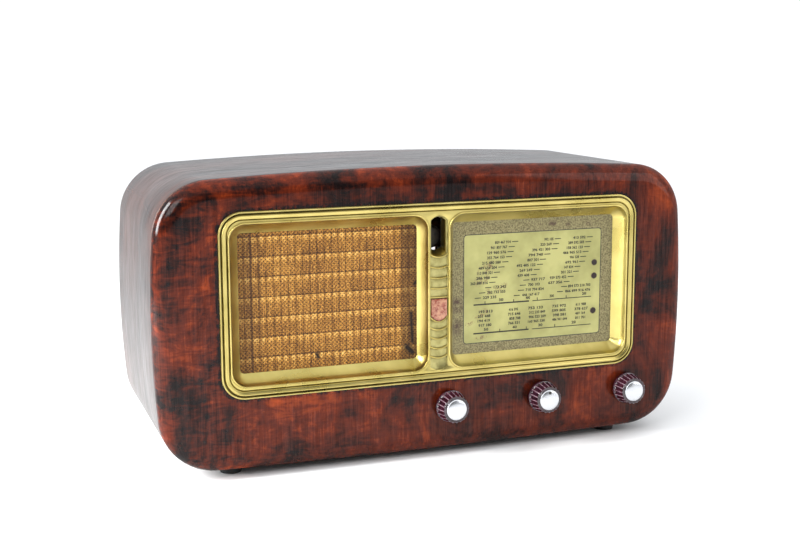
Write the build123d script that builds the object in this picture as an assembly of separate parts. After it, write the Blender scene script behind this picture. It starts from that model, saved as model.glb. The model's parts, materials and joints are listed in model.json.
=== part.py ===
from build123d import *
import math
import os

# A wooden table radio of the early nineteen-fifties. Millimetres.
# The model is laid out with the front of the wood at y = 0, depth along +Y and the floor at z = 0.
# Every piece is then moved back by half of the whole depth, so that the origin is under the middle.

# Cabinet
CABINET_WIDTH = 538.0
CABINET_HEIGHT = 275.3
CABINET_DEPTH = 216.0
SIDE_BOW = 8.4
TOP_BOW = 8.5
BOTTOM_BOW = 3.2
TOP_CORNER_RADIUS = 52.0
BOTTOM_CORNER_RADIUS = 54.0
SHELL_THICKNESS = 12.0
PANEL_THICKNESS = 14.0
PANEL_EDGE_RADIUS = 12.5

# Feet
FOOT_HEIGHT = 6.1
FOOT_RADIUS = 11.0
FOOT_INSET = 72.0
FOOT_SETBACK = 31.0
FOOT_DRAFT = 1.0

# Metal surround on the front
SURROUND_SIDE_MARGIN = 58.8
SURROUND_TOP_MARGIN = 33.7
SURROUND_BOTTOM_MARGIN = 70.2
SURROUND_CORNER = 22.0
SURROUND_BASE = 1.5
BEAD_STEPS = ((0.0, 1.9, 0.9), (3.2, 2.2, 1.7), (5.4, 1.8, 1.1), (8.7, 1.6, 1.4))
WINDOW_MARGIN_X = 9.7
WINDOW_MARGIN_Z = 11.1
WINDOW_CORNER = 15.0
RECESS_DEPTH = 10.0
RECESS_SLOPE_OUTER = 10.0
RECESS_SLOPE_INNER = 7.5
RECESS_WALL = 1.4
COLUMN_WIDTH = 21.6
WOOD_GAP = 0.8

# Middle column of the surround
RIB_SPAN = 18.0
RIB_HEIGHT = 1.1
RIB_WIDTH = 1.3
RIB_RADIUS = 22.0
LAST_RIB_MARGIN = 2.3
UPPER_RIB_COUNT = 4
LOWER_RIB_COUNT = 5
EYE_SLOT_WIDTH = 13.0
EYE_SLOT_LENGTH = 35.3
EYE_SLOT_DROP = 16.7
EYE_TUNNEL_WALL = 1.1
BADGE_WIDTH = 14.6
BADGE_HEIGHT = 22.3
BADGE_TOP = -5.3
BADGE_THICKNESS = 1.3

# Loudspeaker side
CLOTH_THICKNESS = 0.5
CLOTH_CLEARANCE = 0.3
BAFFLE_THICKNESS = 6.0
BAFFLE_LAP = 7.5
BAFFLE_GAP_TO_COLUMN = 8.0
SPEAKER_MARGIN = 4.3
SPEAKER_FLANGE = 3.0
SPEAKER_HOLE_LEDGE = 12.0
CONE_LEDGE = 18.0
CONE_GAP = 0.6
CONE_WALL = 0.8
CONE_DEPTH = 24.0
COIL_RADIUS = 13.0
COIL_WALL = 0.8
COIL_LENGTH = 12.0
COIL_GAP = 0.6
DUST_DOME_DEPTH = 5.0
BASKET_DEPTH = 34.0
BASKET_BACK_RING = 4.0
BASKET_LIP = 2.0
BASKET_WALL = 1.6
BASKET_WINDOWS = 6
BASKET_BRIDGE = 7.3
BASKET_WINDOW_SHARE = 1.5
BASKET_WINDOW_CORNER = 4.0
MAGNET_RADIUS_SHARE = 0.45
MAGNET_LENGTH = 28.0
SURROUND_RING_THICKNESS = 1.0
SURROUND_RING_WIDTH = 5.0

# Dial side
GLASS_THICKNESS = 3.0
GLASS_LAP = 4.5
GLASS_CLEARANCE = 0.3
GASKET_WIDTH = 7.0
BACKPLATE_THICKNESS = 1.2
BACKPLATE_GAP_TO_COLUMN = 8.0
REFLECTOR_GAP = 12.8
REFLECTOR_THICKNESS = 1.0
REFLECTOR_MARGIN_X = 2.0
REFLECTOR_MARGIN_Z = 6.0
REFLECTOR_EAR = 4.0
REFLECTOR_POST_SHARE = 0.6
REFLECTOR_POST_RADIUS = 3.0
POINTER_SHORTFALL = 21.2
POINTER_WIDTH = 1.6
POINTER_THICKNESS = 0.8
POINTER_GAP = 1.6
RAIL_RADIUS = 1.5
RAIL_EAR = 2.0
RAIL_EAR_MARGIN = 4.5
RAIL_HEIGHT_ABOVE_WINDOW = 3.5
CARRIAGE_LENGTH = 14.0
CARRIAGE_SIZE = 6.0
RUNNING_CLEARANCE = 0.05
LAMP_RADIUS = 4.6
LAMP_EDGE_GAP = 5.0
LAMP_LEVEL_SHARE = 0.65
LAMP_LENGTH = 10.0
LAMP_HOLDER_RADIUS = 5.4
LAMP_HOLDER_LENGTH = 12.0

# Controls
KNOB_LEVEL = 44.4
VOLUME_X = 11.8
WAVE_X_SHARE = 0.5224
TUNING_INSET = 6.2
KNOB_REACH = 19.2
KNOB_BASE_RADIUS = 15.6
KNOB_FACE_RADIUS = 13.1
KNOB_STANDOFF = 1.5
KNOB_SKIRT = 3.0
KNOB_EDGE = 0.7
KNOB_FACE_EDGE = 1.0
KNOB_FLUTES = 20
KNOB_FLUTE_RADIUS = 1.2
KNOB_FLUTE_DEPTH = 0.55
CAP_RADIUS = 10.0
CAP_SEAT = 1.2
CAP_DOME = 1.8
SHAFT_RADIUS = 3.0
SHAFT_END_WALL = 5.0
SPINDLE_HOLE_RADIUS = 6.5
BUSHING_RADIUS = 4.8
BUSHING_REACH = 6.0
NUT_RADIUS = 7.5
NUT_THICKNESS = 3.0
CONTROL_RADIUS = 12.5
VOLUME_CAN_LENGTH = 20.0
WAVE_WAFER_LENGTH = 34.0
WAVE_WAFER_SIZE = 32.0
TUNING_SPINDLE_RADIUS = 4.0
TUNING_SPINDLE_WOUND = 5.5
SPINDLE_END_PLAY = 0.5
SHAFT_PROUD = 2.0
SHAFT_STOP = 7.0
BORE_STOP = 6.0
BUSHING_COLLAR = 2.0
WAFER_HALF_HEIGHT = 11.0
WAFER_THICKNESS = 2.0
WAFER_SHARES = (0.0, 0.45, 0.9)
TIE_ROD_INSET = 4.0
TIE_ROD_RADIUS = 1.6
TUNING_BUSHING_LENGTH = 12.0

# Chassis
CHASSIS_SIDE_MARGIN = 44.0
CHASSIS_FRONT = 36.0
CHASSIS_TO_COVER = 18.0
CHASSIS_TOP = 72.0
CHASSIS_HEIGHT = 47.0
CHASSIS_SHEET = 1.2
RUNNER_INSET = 65.0
RUNNER_WIDTH = 18.0

# Tuning capacitor and drive
DRUM_RADIUS = 40.0
DRUM_RIM = 1.6
DRUM_THICKNESS = 6.0
DRUM_GROOVE_WIDTH = 2.4
DRUM_CLEARANCE = 3.0
DRUM_DISH_RIM = 5.0
DRUM_DISH_HUB = 9.0
DRUM_HOLE_COUNT = 6
TUNING_SHAFT_HEIGHT = 46.0
GANG_LENGTH = 56.0
GANG_HALF_WIDTH = 27.0
GANG_PLATE = 1.8
GANG_GAP_TO_DRUM = 4.0
VANE_COUNT = 8
VANE_PITCH = 5.6
VANE_THICKNESS = 1.0
ROTOR_RADIUS = 22.0
ROTOR_HUB_RADIUS = 5.0
STATOR_GAP = 1.5
STATOR_BAR_WIDTH = 3.0
STATOR_BAR_HEIGHT = 6.0

# Pieces that stand on the chassis
TRANSFORMER_INSET_X = 41.0
TRANSFORMER_INSET_Y = 52.0
CORE_WIDTH = 72.0
CORE_DEPTH = 30.0
CORE_HEIGHT = 62.0
CORE_LIMB = 12.0
BOBBIN_DEPTH = 56.0
VALVE_INSET_Y = 30.0
VALVE_X_SHARES = (-1 / 3, -1 / 6, 0.0)
VALVE_BASE_RADIUS = 16.0
VALVE_BASE_HEIGHT = 22.0
VALVE_GLASS_RADIUS = 14.5
VALVE_GLASS_HEIGHT = 66.0
VALVE_SOCKET_HEIGHT = 3.0
VALVE_SOCKET_RIM = 1.5
CAN_X_SHARES = (-0.25, -1 / 12)
CAN_SIZE = 28.0
CAN_CORNER = 4.0
CAN_HEIGHT = 72.0
ELECTROLYTIC_X_SHARE = 0.138
ELECTROLYTIC_INSET_Y = 40.0
ELECTROLYTIC_EDGE = 2.0
ELECTROLYTIC_RADIUS = 15.0
ELECTROLYTIC_HEIGHT = 82.0
OUTPUT_INSET_X = 35.0
OUTPUT_Y = 108.0
OUTPUT_SIZE = 40.0
OUTPUT_DEPTH = 30.0
OUTPUT_HEIGHT = 32.0
OUTPUT_YOKE = 6.0
OUTPUT_COIL_SHARE = 0.55

# Tuning eye
EYE_RADIUS = 11.0
EYE_LENGTH = 66.0
EYE_FRONT = 19.0
EYE_DROP = 18.5
EYE_EDGE_RADIUS = 3.0
EYE_BASE_RADIUS = 13.0
EYE_BASE_LENGTH = 18.0
EYE_STRAP = 1.2
EYE_BRACKET_TAB = 14.0
EYE_BRACKET_GAP = 3.0
EYE_STRAP_WIDTH = 7.0
EYE_BRACKET_HALF_WIDTH = 6.0

# Back
COVER_THICKNESS = 3.0
COVER_RECESS = 5.0
COVER_CLEARANCE = 0.6
BLOCK_SIZE = 30.0
BLOCK_LENGTH = 24.0
COVER_SCREW_RADIUS = 1.75
COVER_SCREW_HEAD_RADIUS = 4.0
COVER_SCREW_HEAD = 2.2
COVER_SCREW_HEAD_ROUND = 1.2
COVER_SCREW_SLOT = 1.0
COVER_SCREW_LENGTH = 15.0
VENT_LENGTH = 38.0
VENT_WIDTH = 5.0
VENT_PITCH = 14.0
VENT_COUNT = 22
VENT_ROW_COUNT = 3
VENT_ROW_PITCH = 56.0
VENT_TOP_MARGIN = 55.4
STRIP_X = -110.0
STRIP_Z = 48.0
STRIP_LENGTH = 84.0
STRIP_HEIGHT = 20.0
STRIP_REACH = 14.5
STRIP_CORNER = 3.0
SOCKET_COUNT = 4
SOCKET_PITCH = 19.0
SOCKET_BORE_RADIUS = 2.05
SOCKET_WALL = 0.9
SOCKET_DEPTH = 13.0
SOCKET_PROUD = 0.8
STRIP_WINDOW_GAP = 3.0
GLAND_X = 150.0
GLAND_Z = 48.0
GLAND_FLANGE_RADIUS = 9.0
GLAND_NECK_RADIUS = 6.5
GLAND_BORE_RADIUS = 3.6
GLAND_FLANGE = 2.2

WHOLE_DEPTH = CABINET_DEPTH + KNOB_REACH
TO_ORIGIN = Pos(0, KNOB_REACH - WHOLE_DEPTH / 2, 0)
CABINET_TOP = FOOT_HEIGHT + CABINET_HEIGHT
SURROUND_WIDTH = CABINET_WIDTH - 2 * SURROUND_SIDE_MARGIN
SURROUND_HEIGHT = CABINET_HEIGHT - SURROUND_TOP_MARGIN - SURROUND_BOTTOM_MARGIN
SURROUND_Z = FOOT_HEIGHT + SURROUND_BOTTOM_MARGIN + SURROUND_HEIGHT / 2
FOOT_SPREAD = CABINET_WIDTH - 2 * FOOT_INSET
EYE_SLOT_TOP = SURROUND_HEIGHT / 2 - EYE_SLOT_DROP
EYE_SLOT_BOTTOM = EYE_SLOT_TOP - EYE_SLOT_LENGTH
BADGE_BOTTOM = BADGE_TOP - BADGE_HEIGHT
KNOB_Z = FOOT_HEIGHT + KNOB_LEVEL
WAVE_X = WAVE_X_SHARE * SURROUND_WIDTH / 2
TUNING_X = SURROUND_WIDTH / 2 - TUNING_INSET
WINDOW_HALF_HEIGHT = SURROUND_HEIGHT / 2 - WINDOW_MARGIN_Z
WINDOW_OUTER_X = SURROUND_WIDTH / 2 - WINDOW_MARGIN_X
WINDOW_INNER_X = COLUMN_WIDTH / 2
RECESS_HALF_HEIGHT = WINDOW_HALF_HEIGHT - RECESS_SLOPE_OUTER
RECESS_OUTER_X = WINDOW_OUTER_X - RECESS_SLOPE_OUTER
RECESS_INNER_X = WINDOW_INNER_X + RECESS_SLOPE_INNER
OPENING_HALF_WIDTH = WINDOW_OUTER_X + RECESS_WALL + WOOD_GAP
OPENING_HALF_HEIGHT = WINDOW_HALF_HEIGHT + RECESS_WALL + WOOD_GAP
UPPER_RIB_PITCH = (EYE_SLOT_BOTTOM - RIB_WIDTH - BADGE_TOP) / UPPER_RIB_COUNT
LOWER_RIB_PITCH = (BADGE_BOTTOM + WINDOW_HALF_HEIGHT - LAST_RIB_MARGIN) / LOWER_RIB_COUNT
SPEAKER_RADIUS = OPENING_HALF_HEIGHT + BAFFLE_LAP - SPEAKER_MARGIN
SPEAKER_HOLE_RADIUS = SPEAKER_RADIUS - SPEAKER_HOLE_LEDGE
CONE_RADIUS = SPEAKER_RADIUS - CONE_LEDGE
MAGNET_RADIUS = MAGNET_RADIUS_SHARE * SPEAKER_RADIUS
CLOTH_FRONT = RECESS_DEPTH + CLOTH_CLEARANCE
BAFFLE_FRONT = CLOTH_FRONT + CLOTH_THICKNESS + CLOTH_CLEARANCE
BAFFLE_BACK = BAFFLE_FRONT + BAFFLE_THICKNESS
SPEAKER_X = -(RECESS_OUTER_X + RECESS_INNER_X) / 2
GLASS_FRONT = RECESS_DEPTH + GLASS_CLEARANCE
GLASS_BACK = GLASS_FRONT + GLASS_THICKNESS
BACKPLATE_BACK = PANEL_THICKNESS + BACKPLATE_THICKNESS
REFLECTOR_FRONT = BACKPLATE_BACK + REFLECTOR_GAP
REFLECTOR_BACK = REFLECTOR_FRONT + REFLECTOR_THICKNESS
DIAL_X = (RECESS_OUTER_X + RECESS_INNER_X) / 2
DIAL_HALF_WIDTH = (RECESS_OUTER_X - RECESS_INNER_X) / 2
POINTER_LENGTH = 2 * RECESS_HALF_HEIGHT - POINTER_SHORTFALL
GANG_X = DIAL_X
RAIL_Y = BACKPLATE_BACK + POINTER_GAP + CARRIAGE_SIZE / 2
RAIL_Z = SURROUND_Z + RECESS_HALF_HEIGHT + RAIL_HEIGHT_ABOVE_WINDOW
DRUM_FRONT = REFLECTOR_BACK + DRUM_CLEARANCE
DRUM_BACK = DRUM_FRONT + DRUM_THICKNESS
GANG_FRONT = DRUM_BACK + GANG_GAP_TO_DRUM
GANG_BACK = GANG_FRONT + GANG_LENGTH
CHASSIS_BOTTOM = CHASSIS_TOP - CHASSIS_HEIGHT
COVER_BACK = CABINET_DEPTH - COVER_RECESS
COVER_FRONT = COVER_BACK - COVER_THICKNESS
CHASSIS_BACK = COVER_FRONT - CHASSIS_TO_COVER
CHASSIS_WIDTH = CABINET_WIDTH - 2 * CHASSIS_SIDE_MARGIN
RUNNER_SPREAD = CHASSIS_WIDTH - 2 * RUNNER_INSET
TUNING_SHAFT_Z = CHASSIS_TOP + TUNING_SHAFT_HEIGHT
TRANSFORMER_X = CHASSIS_WIDTH / 2 - TRANSFORMER_INSET_X
TRANSFORMER_Y = CHASSIS_BACK - TRANSFORMER_INSET_Y
ELECTROLYTIC_X = ELECTROLYTIC_X_SHARE * CHASSIS_WIDTH
ELECTROLYTIC_Y = CHASSIS_BACK - ELECTROLYTIC_INSET_Y
LAST_VALVE_X = (ELECTROLYTIC_X + ELECTROLYTIC_RADIUS + TRANSFORMER_X - CORE_WIDTH / 2) / 2
VALVE_XS = [share * CHASSIS_WIDTH for share in VALVE_X_SHARES] + [LAST_VALVE_X]
VALVE_Y = CHASSIS_BACK - VALVE_INSET_Y
CAN_XS = [share * CHASSIS_WIDTH for share in CAN_X_SHARES]
OUTPUT_X = OUTPUT_INSET_X - CHASSIS_WIDTH / 2
VENT_TOP_ROW = CABINET_TOP - VENT_TOP_MARGIN
EYE_Z = SURROUND_Z + EYE_SLOT_TOP - EYE_DROP


def save(shape, name):
    """Move a piece to the shared origin and write it."""
    export_step(TO_ORIGIN * shape, f"parts/{name}.step")


def slab(face, front, back):
    """Extrude a drawing of the front view between two depths."""
    return Pos(0, back, 0) * Rot(90, 0, 0) * extrude(face, amount=back - front)


def front_view(face, depth):
    """Stand a drawing of the front view at one depth."""
    return Plane(origin=(0, depth, 0), x_dir=(1, 0, 0), z_dir=(0, -1, 0)) * face


def block(x_low, x_high, y_low, y_high, z_low, z_high):
    """A box between two corners."""
    size = Box(x_high - x_low, y_high - y_low, z_high - z_low)
    return Pos((x_low + x_high) / 2, (y_low + y_high) / 2, (z_low + z_high) / 2) * size


def rod_y(x, z, radius, front, back):
    """A round bar along the depth."""
    return Pos(x, (front + back) / 2, z) * Rot(90, 0, 0) * Cylinder(radius, back - front)


def rod_z(x, y, radius, low, high):
    """A round bar standing up."""
    return Pos(x, y, (low + high) / 2) * Cylinder(radius, high - low)


def rod_x(y, z, radius, left, right):
    """A round bar along the width."""
    return Pos((left + right) / 2, y, z) * Rot(0, 90, 0) * Cylinder(radius, right - left)


def turned(points, x, z):
    """A turned piece about an axis along the depth, from (radius, depth) points."""
    return Pos(x, 0, z) * revolve(make_face(Polyline(*points, close=True)), Axis.Y)


def rounded(width, height, radius, x=0.0, z=SURROUND_Z):
    """A rounded rectangle in the front view."""
    return Pos(x, z) * RectangleRounded(width, height, radius)


def bow_radius(half_chord, bow):
    """The radius of an arc that rises by a bow over a chord."""
    return (half_chord ** 2 + bow ** 2) / (2 * bow)


def meeting_point(level_centre, level_radius, side_centre, side_radius, upward):
    """Where the arc of the top or bottom meets the arc of the right side."""
    centres = side_centre - level_centre
    along = (level_radius ** 2 - side_radius ** 2 + centres.length ** 2) / (2 * centres.length)
    across = math.sqrt(level_radius ** 2 - along ** 2)
    direction = centres.normalized()
    foot_point = level_centre + direction * along
    sideways = Vector(-direction.Y, direction.X) * across
    first, second = foot_point + sideways, foot_point - sideways
    higher, lower = (first, second) if first.Y > second.Y else (second, first)
    return higher if upward else lower


def cabinet_outline(inset=0.0):
    """The front view of the cabinet: four bowed sides and four round corners."""
    half_chord = CABINET_WIDTH / 2 - SIDE_BOW
    low = FOOT_HEIGHT + BOTTOM_BOW
    high = CABINET_TOP - TOP_BOW
    middle = (low + high) / 2
    side_radius = bow_radius((high - low) / 2, SIDE_BOW)
    top_radius = bow_radius(half_chord, TOP_BOW)
    bottom_radius = bow_radius(half_chord, BOTTOM_BOW)
    side_centre = Vector(CABINET_WIDTH / 2 - side_radius, middle)
    lower = meeting_point(Vector(0, FOOT_HEIGHT + bottom_radius), bottom_radius - inset, side_centre,
                          side_radius - inset, False)
    upper = meeting_point(Vector(0, CABINET_TOP - top_radius), top_radius - inset, side_centre,
                          side_radius - inset, True)
    bottom = ThreePointArc((-lower.X, lower.Y), (0, FOOT_HEIGHT + inset), (lower.X, lower.Y))
    right = ThreePointArc((lower.X, lower.Y), (CABINET_WIDTH / 2 - inset, middle), (upper.X, upper.Y))
    top = ThreePointArc((upper.X, upper.Y), (0, CABINET_TOP - inset), (-upper.X, upper.Y))
    left = ThreePointArc((-upper.X, upper.Y), (inset - CABINET_WIDTH / 2, middle), (-lower.X, lower.Y))
    face = make_face(Curve() + [bottom, right, top, left])
    face = fillet(face.vertices().sort_by(Axis.Y)[:2], BOTTOM_CORNER_RADIUS - inset)
    top_corners = [v for v in face.vertices() if abs(v.Y - upper.Y) < 0.01]
    return fillet(top_corners, TOP_CORNER_RADIUS - inset)


def window_face(side, depth_share, growth=0.0):
    """One window of the surround, at the mouth (0) or at the bottom of its recess (1)."""
    inner = WINDOW_INNER_X + depth_share * RECESS_SLOPE_INNER
    outer = WINDOW_OUTER_X - depth_share * RECESS_SLOPE_OUTER
    half_height = WINDOW_HALF_HEIGHT - depth_share * RECESS_SLOPE_OUTER
    radius = WINDOW_CORNER - depth_share * RECESS_SLOPE_OUTER / 2
    width = outer - inner + 2 * growth
    return rounded(width, 2 * (half_height + growth), radius + growth, side * (inner + outer) / 2)


def front_panel():
    """The thick front board, with its rounded edge and its cut-outs."""
    board = slab(cabinet_outline(), 0, PANEL_THICKNESS)
    front_edges = [e for e in board.edges() if e.center().Y < 0.01 and abs(e.bounding_box().size.Y) < 0.01]
    board = fillet(front_edges, PANEL_EDGE_RADIUS)
    opening = rounded(2 * OPENING_HALF_WIDTH, 2 * OPENING_HALF_HEIGHT, WINDOW_CORNER)
    board -= slab(opening, -1, PANEL_THICKNESS + 1)
    pocket_width = OPENING_HALF_WIDTH + BAFFLE_LAP - BAFFLE_GAP_TO_COLUMN
    pocket_x = -(OPENING_HALF_WIDTH + BAFFLE_LAP + BAFFLE_GAP_TO_COLUMN) / 2
    pocket = Pos(pocket_x, SURROUND_Z) * Rectangle(pocket_width, 2 * (OPENING_HALF_HEIGHT + BAFFLE_LAP))
    board -= slab(pocket, BAFFLE_FRONT, PANEL_THICKNESS + 1)
    for x in (VOLUME_X, WAVE_X, TUNING_X):
        board -= rod_y(x, KNOB_Z, SPINDLE_HOLE_RADIUS, -1, PANEL_THICKNESS + 1)
    return board


def cabinet_shell():
    """The bent plywood wrap behind the front board."""
    outer = slab(cabinet_outline(), PANEL_THICKNESS, CABINET_DEPTH)
    return outer - slab(cabinet_outline(SHELL_THICKNESS), PANEL_THICKNESS - 1, CABINET_DEPTH + 1)


def cabinet_room(front, back):
    """The space inside the wrap between two depths."""
    return slab(cabinet_outline(SHELL_THICKNESS), front, back)


def bead_ring(start, width, height):
    """One raised line around the surround."""
    outer = rounded(SURROUND_WIDTH - 2 * start, SURROUND_HEIGHT - 2 * start, SURROUND_CORNER - start)
    inner_start = start + width
    inner = rounded(SURROUND_WIDTH - 2 * inner_start, SURROUND_HEIGHT - 2 * inner_start,
                    SURROUND_CORNER - inner_start)
    ring = slab(outer - inner, -SURROUND_BASE - height, -SURROUND_BASE)
    edges = [e for e in ring.edges() if abs(e.center().Y + SURROUND_BASE + height) < 0.01]
    return fillet(edges, 0.42 * min(width, height))


def column_rib(z):
    """One curved rib of the middle column, lowest at its middle."""
    ring = Circle(RIB_RADIUS) - Circle(RIB_RADIUS - RIB_WIDTH)
    strip = Pos(0, -RIB_RADIUS) * Rectangle(RIB_SPAN, RIB_RADIUS)
    return slab(Pos(0, z + RIB_RADIUS) * (ring & strip), -SURROUND_BASE - RIB_HEIGHT, -SURROUND_BASE)


def eye_slot_face(growth=0.0):
    """The slot for the tuning eye, round at its top."""
    width = EYE_SLOT_WIDTH + 2 * growth
    top = SURROUND_Z + EYE_SLOT_TOP - EYE_SLOT_WIDTH / 2
    low = SURROUND_Z + EYE_SLOT_BOTTOM - growth
    body = Pos(0, (top + low) / 2) * Rectangle(width, top - low)
    return body + Pos(0, top) * Circle(width / 2)


def surround():
    """The gold surround: beads, two sloping recesses, the ribbed column and the eye slot."""
    plate = slab(rounded(SURROUND_WIDTH, SURROUND_HEIGHT, SURROUND_CORNER), -SURROUND_BASE, 0)
    for start, width, height in BEAD_STEPS:
        plate += bead_ring(start, width, height)
    for side in (-1, 1):
        shell = loft([front_view(window_face(side, 0, RECESS_WALL), -SURROUND_BASE / 2),
                      front_view(window_face(side, 1, RECESS_WALL), RECESS_DEPTH)], ruled=True)
        plate += shell
        rim = slab(window_face(side, 0, RECESS_WALL), -SURROUND_BASE - RIB_HEIGHT, -SURROUND_BASE)
        plate += rim
    plate += slab(eye_slot_face(EYE_TUNNEL_WALL), -SURROUND_BASE, RECESS_DEPTH)
    for side in (-1, 1):
        plate -= loft([front_view(window_face(side, -0.5), -RECESS_DEPTH / 2),
                       front_view(window_face(side, 1.05), RECESS_DEPTH * 1.05)], ruled=True)
    plate -= slab(eye_slot_face(), -RECESS_DEPTH, RECESS_DEPTH + 1)
    for step in range(UPPER_RIB_COUNT):
        plate += column_rib(SURROUND_Z + EYE_SLOT_BOTTOM - RIB_WIDTH - step * UPPER_RIB_PITCH)
    for step in range(LOWER_RIB_COUNT):
        plate += column_rib(SURROUND_Z + BADGE_BOTTOM - (step + 1) * LOWER_RIB_PITCH)
    return plate


def badge():
    """A bare enamelled shield, flat at its top and round at its bottom."""
    radius = BADGE_WIDTH / 2
    top = SURROUND_Z + BADGE_TOP
    low = top - BADGE_HEIGHT + radius
    face = Pos(0, (top + low) / 2) * Rectangle(BADGE_WIDTH, top - low) + Pos(0, low) * Circle(radius)
    shield = slab(face, -SURROUND_BASE - BADGE_THICKNESS, -SURROUND_BASE)
    edges = [e for e in shield.edges() if abs(e.center().Y + SURROUND_BASE + BADGE_THICKNESS) < 0.01]
    return fillet(edges, 0.4 * BADGE_THICKNESS)


def speaker_cloth():
    """The cloth between the recess and the baffle."""
    half_width = (RECESS_OUTER_X - RECESS_INNER_X) / 2 + RECESS_WALL
    half_height = RECESS_HALF_HEIGHT + RECESS_WALL
    face = Pos(SPEAKER_X, SURROUND_Z) * Rectangle(2 * half_width, 2 * half_height)
    return slab(face, CLOTH_FRONT, CLOTH_FRONT + CLOTH_THICKNESS)


def baffle_board():
    """The board that carries the loudspeaker, seated in the pocket of the front board."""
    left = -(OPENING_HALF_WIDTH + BAFFLE_LAP)
    face = Pos((left - BAFFLE_GAP_TO_COLUMN) / 2, SURROUND_Z) * Rectangle(
        -BAFFLE_GAP_TO_COLUMN - left, 2 * (OPENING_HALF_HEIGHT + BAFFLE_LAP))
    return slab(face - Pos(SPEAKER_X, SURROUND_Z) * Circle(SPEAKER_HOLE_RADIUS), BAFFLE_FRONT, BAFFLE_BACK)


def speaker_basket():
    """The pressed basket: a flange, a windowed cone and a back ring."""
    seat = BAFFLE_BACK
    back = seat + BASKET_DEPTH
    lip = CONE_RADIUS + CONE_GAP + SURROUND_RING_WIDTH
    outline = [
        (lip, seat), (SPEAKER_RADIUS, seat), (SPEAKER_RADIUS, seat + SPEAKER_FLANGE),
        (lip + SURROUND_RING_WIDTH, seat + SPEAKER_FLANGE),
        (MAGNET_RADIUS, back), (COIL_RADIUS + COIL_GAP + BASKET_BACK_RING, back),
        (COIL_RADIUS + COIL_GAP + BASKET_BACK_RING, back - BASKET_WALL),
        (MAGNET_RADIUS - BASKET_LIP, back - BASKET_WALL), (lip - BASKET_LIP, seat + SPEAKER_FLANGE),
        (lip - BASKET_LIP, seat + SURROUND_RING_THICKNESS),
        (lip, seat + SURROUND_RING_THICKNESS)]
    basket = turned(outline, SPEAKER_X, SURROUND_Z)
    middle = (lip + MAGNET_RADIUS) / 2
    reach = lip - MAGNET_RADIUS - 2 * BASKET_BRIDGE
    for index in range(BASKET_WINDOWS):
        angle = 360 * index / BASKET_WINDOWS
        cutter = Pos(middle, 0) * RectangleRounded(reach, BASKET_WINDOW_SHARE * reach, BASKET_WINDOW_CORNER)
        window = slab(cutter, seat + SPEAKER_FLANGE + 2, back - BASKET_WALL - 2)
        basket -= Pos(SPEAKER_X, 0, SURROUND_Z) * Rot(0, angle, 0) * window
    return basket


def speaker_magnet():
    """The magnet pot with its ring gap for the voice coil."""
    front = BAFFLE_BACK + BASKET_DEPTH
    back = front + MAGNET_LENGTH
    pot = rod_y(SPEAKER_X, SURROUND_Z, MAGNET_RADIUS, front, back)
    slot = rod_y(SPEAKER_X, SURROUND_Z, COIL_RADIUS + COIL_GAP, front - 1, front + COIL_LENGTH)
    pole = rod_y(SPEAKER_X, SURROUND_Z, COIL_RADIUS - COIL_WALL - COIL_GAP, front, front + COIL_LENGTH)
    return pot - slot + pole


def speaker_cone():
    """The paper cone with its dust dome and voice coil, in one moving piece."""
    front = BAFFLE_BACK
    back = front + CONE_DEPTH
    coil_end = BAFFLE_BACK + BASKET_DEPTH + COIL_LENGTH / 2
    inner = COIL_RADIUS - COIL_WALL
    outline = [
        (CONE_RADIUS, front), (CONE_RADIUS, front + 2 * CONE_WALL), (COIL_RADIUS, back + 2 * CONE_WALL),
        (COIL_RADIUS, coil_end), (inner, coil_end), (inner, back - CONE_WALL),
        (0, back - DUST_DOME_DEPTH - CONE_WALL), (0, back - DUST_DOME_DEPTH - 2 * CONE_WALL),
        (inner + CONE_WALL, back - 2 * CONE_WALL)]
    return turned(outline, SPEAKER_X, SURROUND_Z)


def speaker_surround():
    """The flexible ring between the cone and the basket flange."""
    outer = CONE_RADIUS + CONE_GAP + SURROUND_RING_WIDTH
    ring = rod_y(SPEAKER_X, SURROUND_Z, outer, BAFFLE_BACK, BAFFLE_BACK + SURROUND_RING_THICKNESS)
    return ring - rod_y(SPEAKER_X, SURROUND_Z, CONE_RADIUS + CONE_GAP, BAFFLE_BACK - 1, BAFFLE_BACK + 3)


def output_transformer():
    """The small transformer that feeds the loudspeaker, on the chassis."""
    half = OUTPUT_SIZE / 2
    half_coil = OUTPUT_COIL_SHARE * half
    core = block(OUTPUT_X - half, OUTPUT_X + half, OUTPUT_Y - OUTPUT_DEPTH / 4, OUTPUT_Y + OUTPUT_DEPTH / 4,
                 CHASSIS_TOP, CHASSIS_TOP + OUTPUT_HEIGHT)
    low = CHASSIS_TOP + OUTPUT_YOKE
    high = CHASSIS_TOP + OUTPUT_HEIGHT - OUTPUT_YOKE
    coil = block(OUTPUT_X - half_coil, OUTPUT_X + half_coil, OUTPUT_Y - OUTPUT_DEPTH / 2,
                 OUTPUT_Y + OUTPUT_DEPTH / 2, low, high)
    return core + coil


def dial_glass():
    """The printed glass at the bottom of the dial recess."""
    face = Pos(DIAL_X, SURROUND_Z) * Rectangle(2 * (DIAL_HALF_WIDTH + GLASS_LAP),
                                               2 * (RECESS_HALF_HEIGHT + GLASS_LAP))
    return slab(face, GLASS_FRONT, GLASS_BACK)


def dial_gasket():
    """The rubber frame between the glass and the back plate."""
    width = 2 * (DIAL_HALF_WIDTH + GLASS_LAP)
    height = 2 * (RECESS_HALF_HEIGHT + GLASS_LAP)
    face = Rectangle(width, height) - Rectangle(width - 2 * GASKET_WIDTH, height - 2 * GASKET_WIDTH)
    return slab(Pos(DIAL_X, SURROUND_Z) * face, GLASS_BACK, PANEL_THICKNESS)


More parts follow.
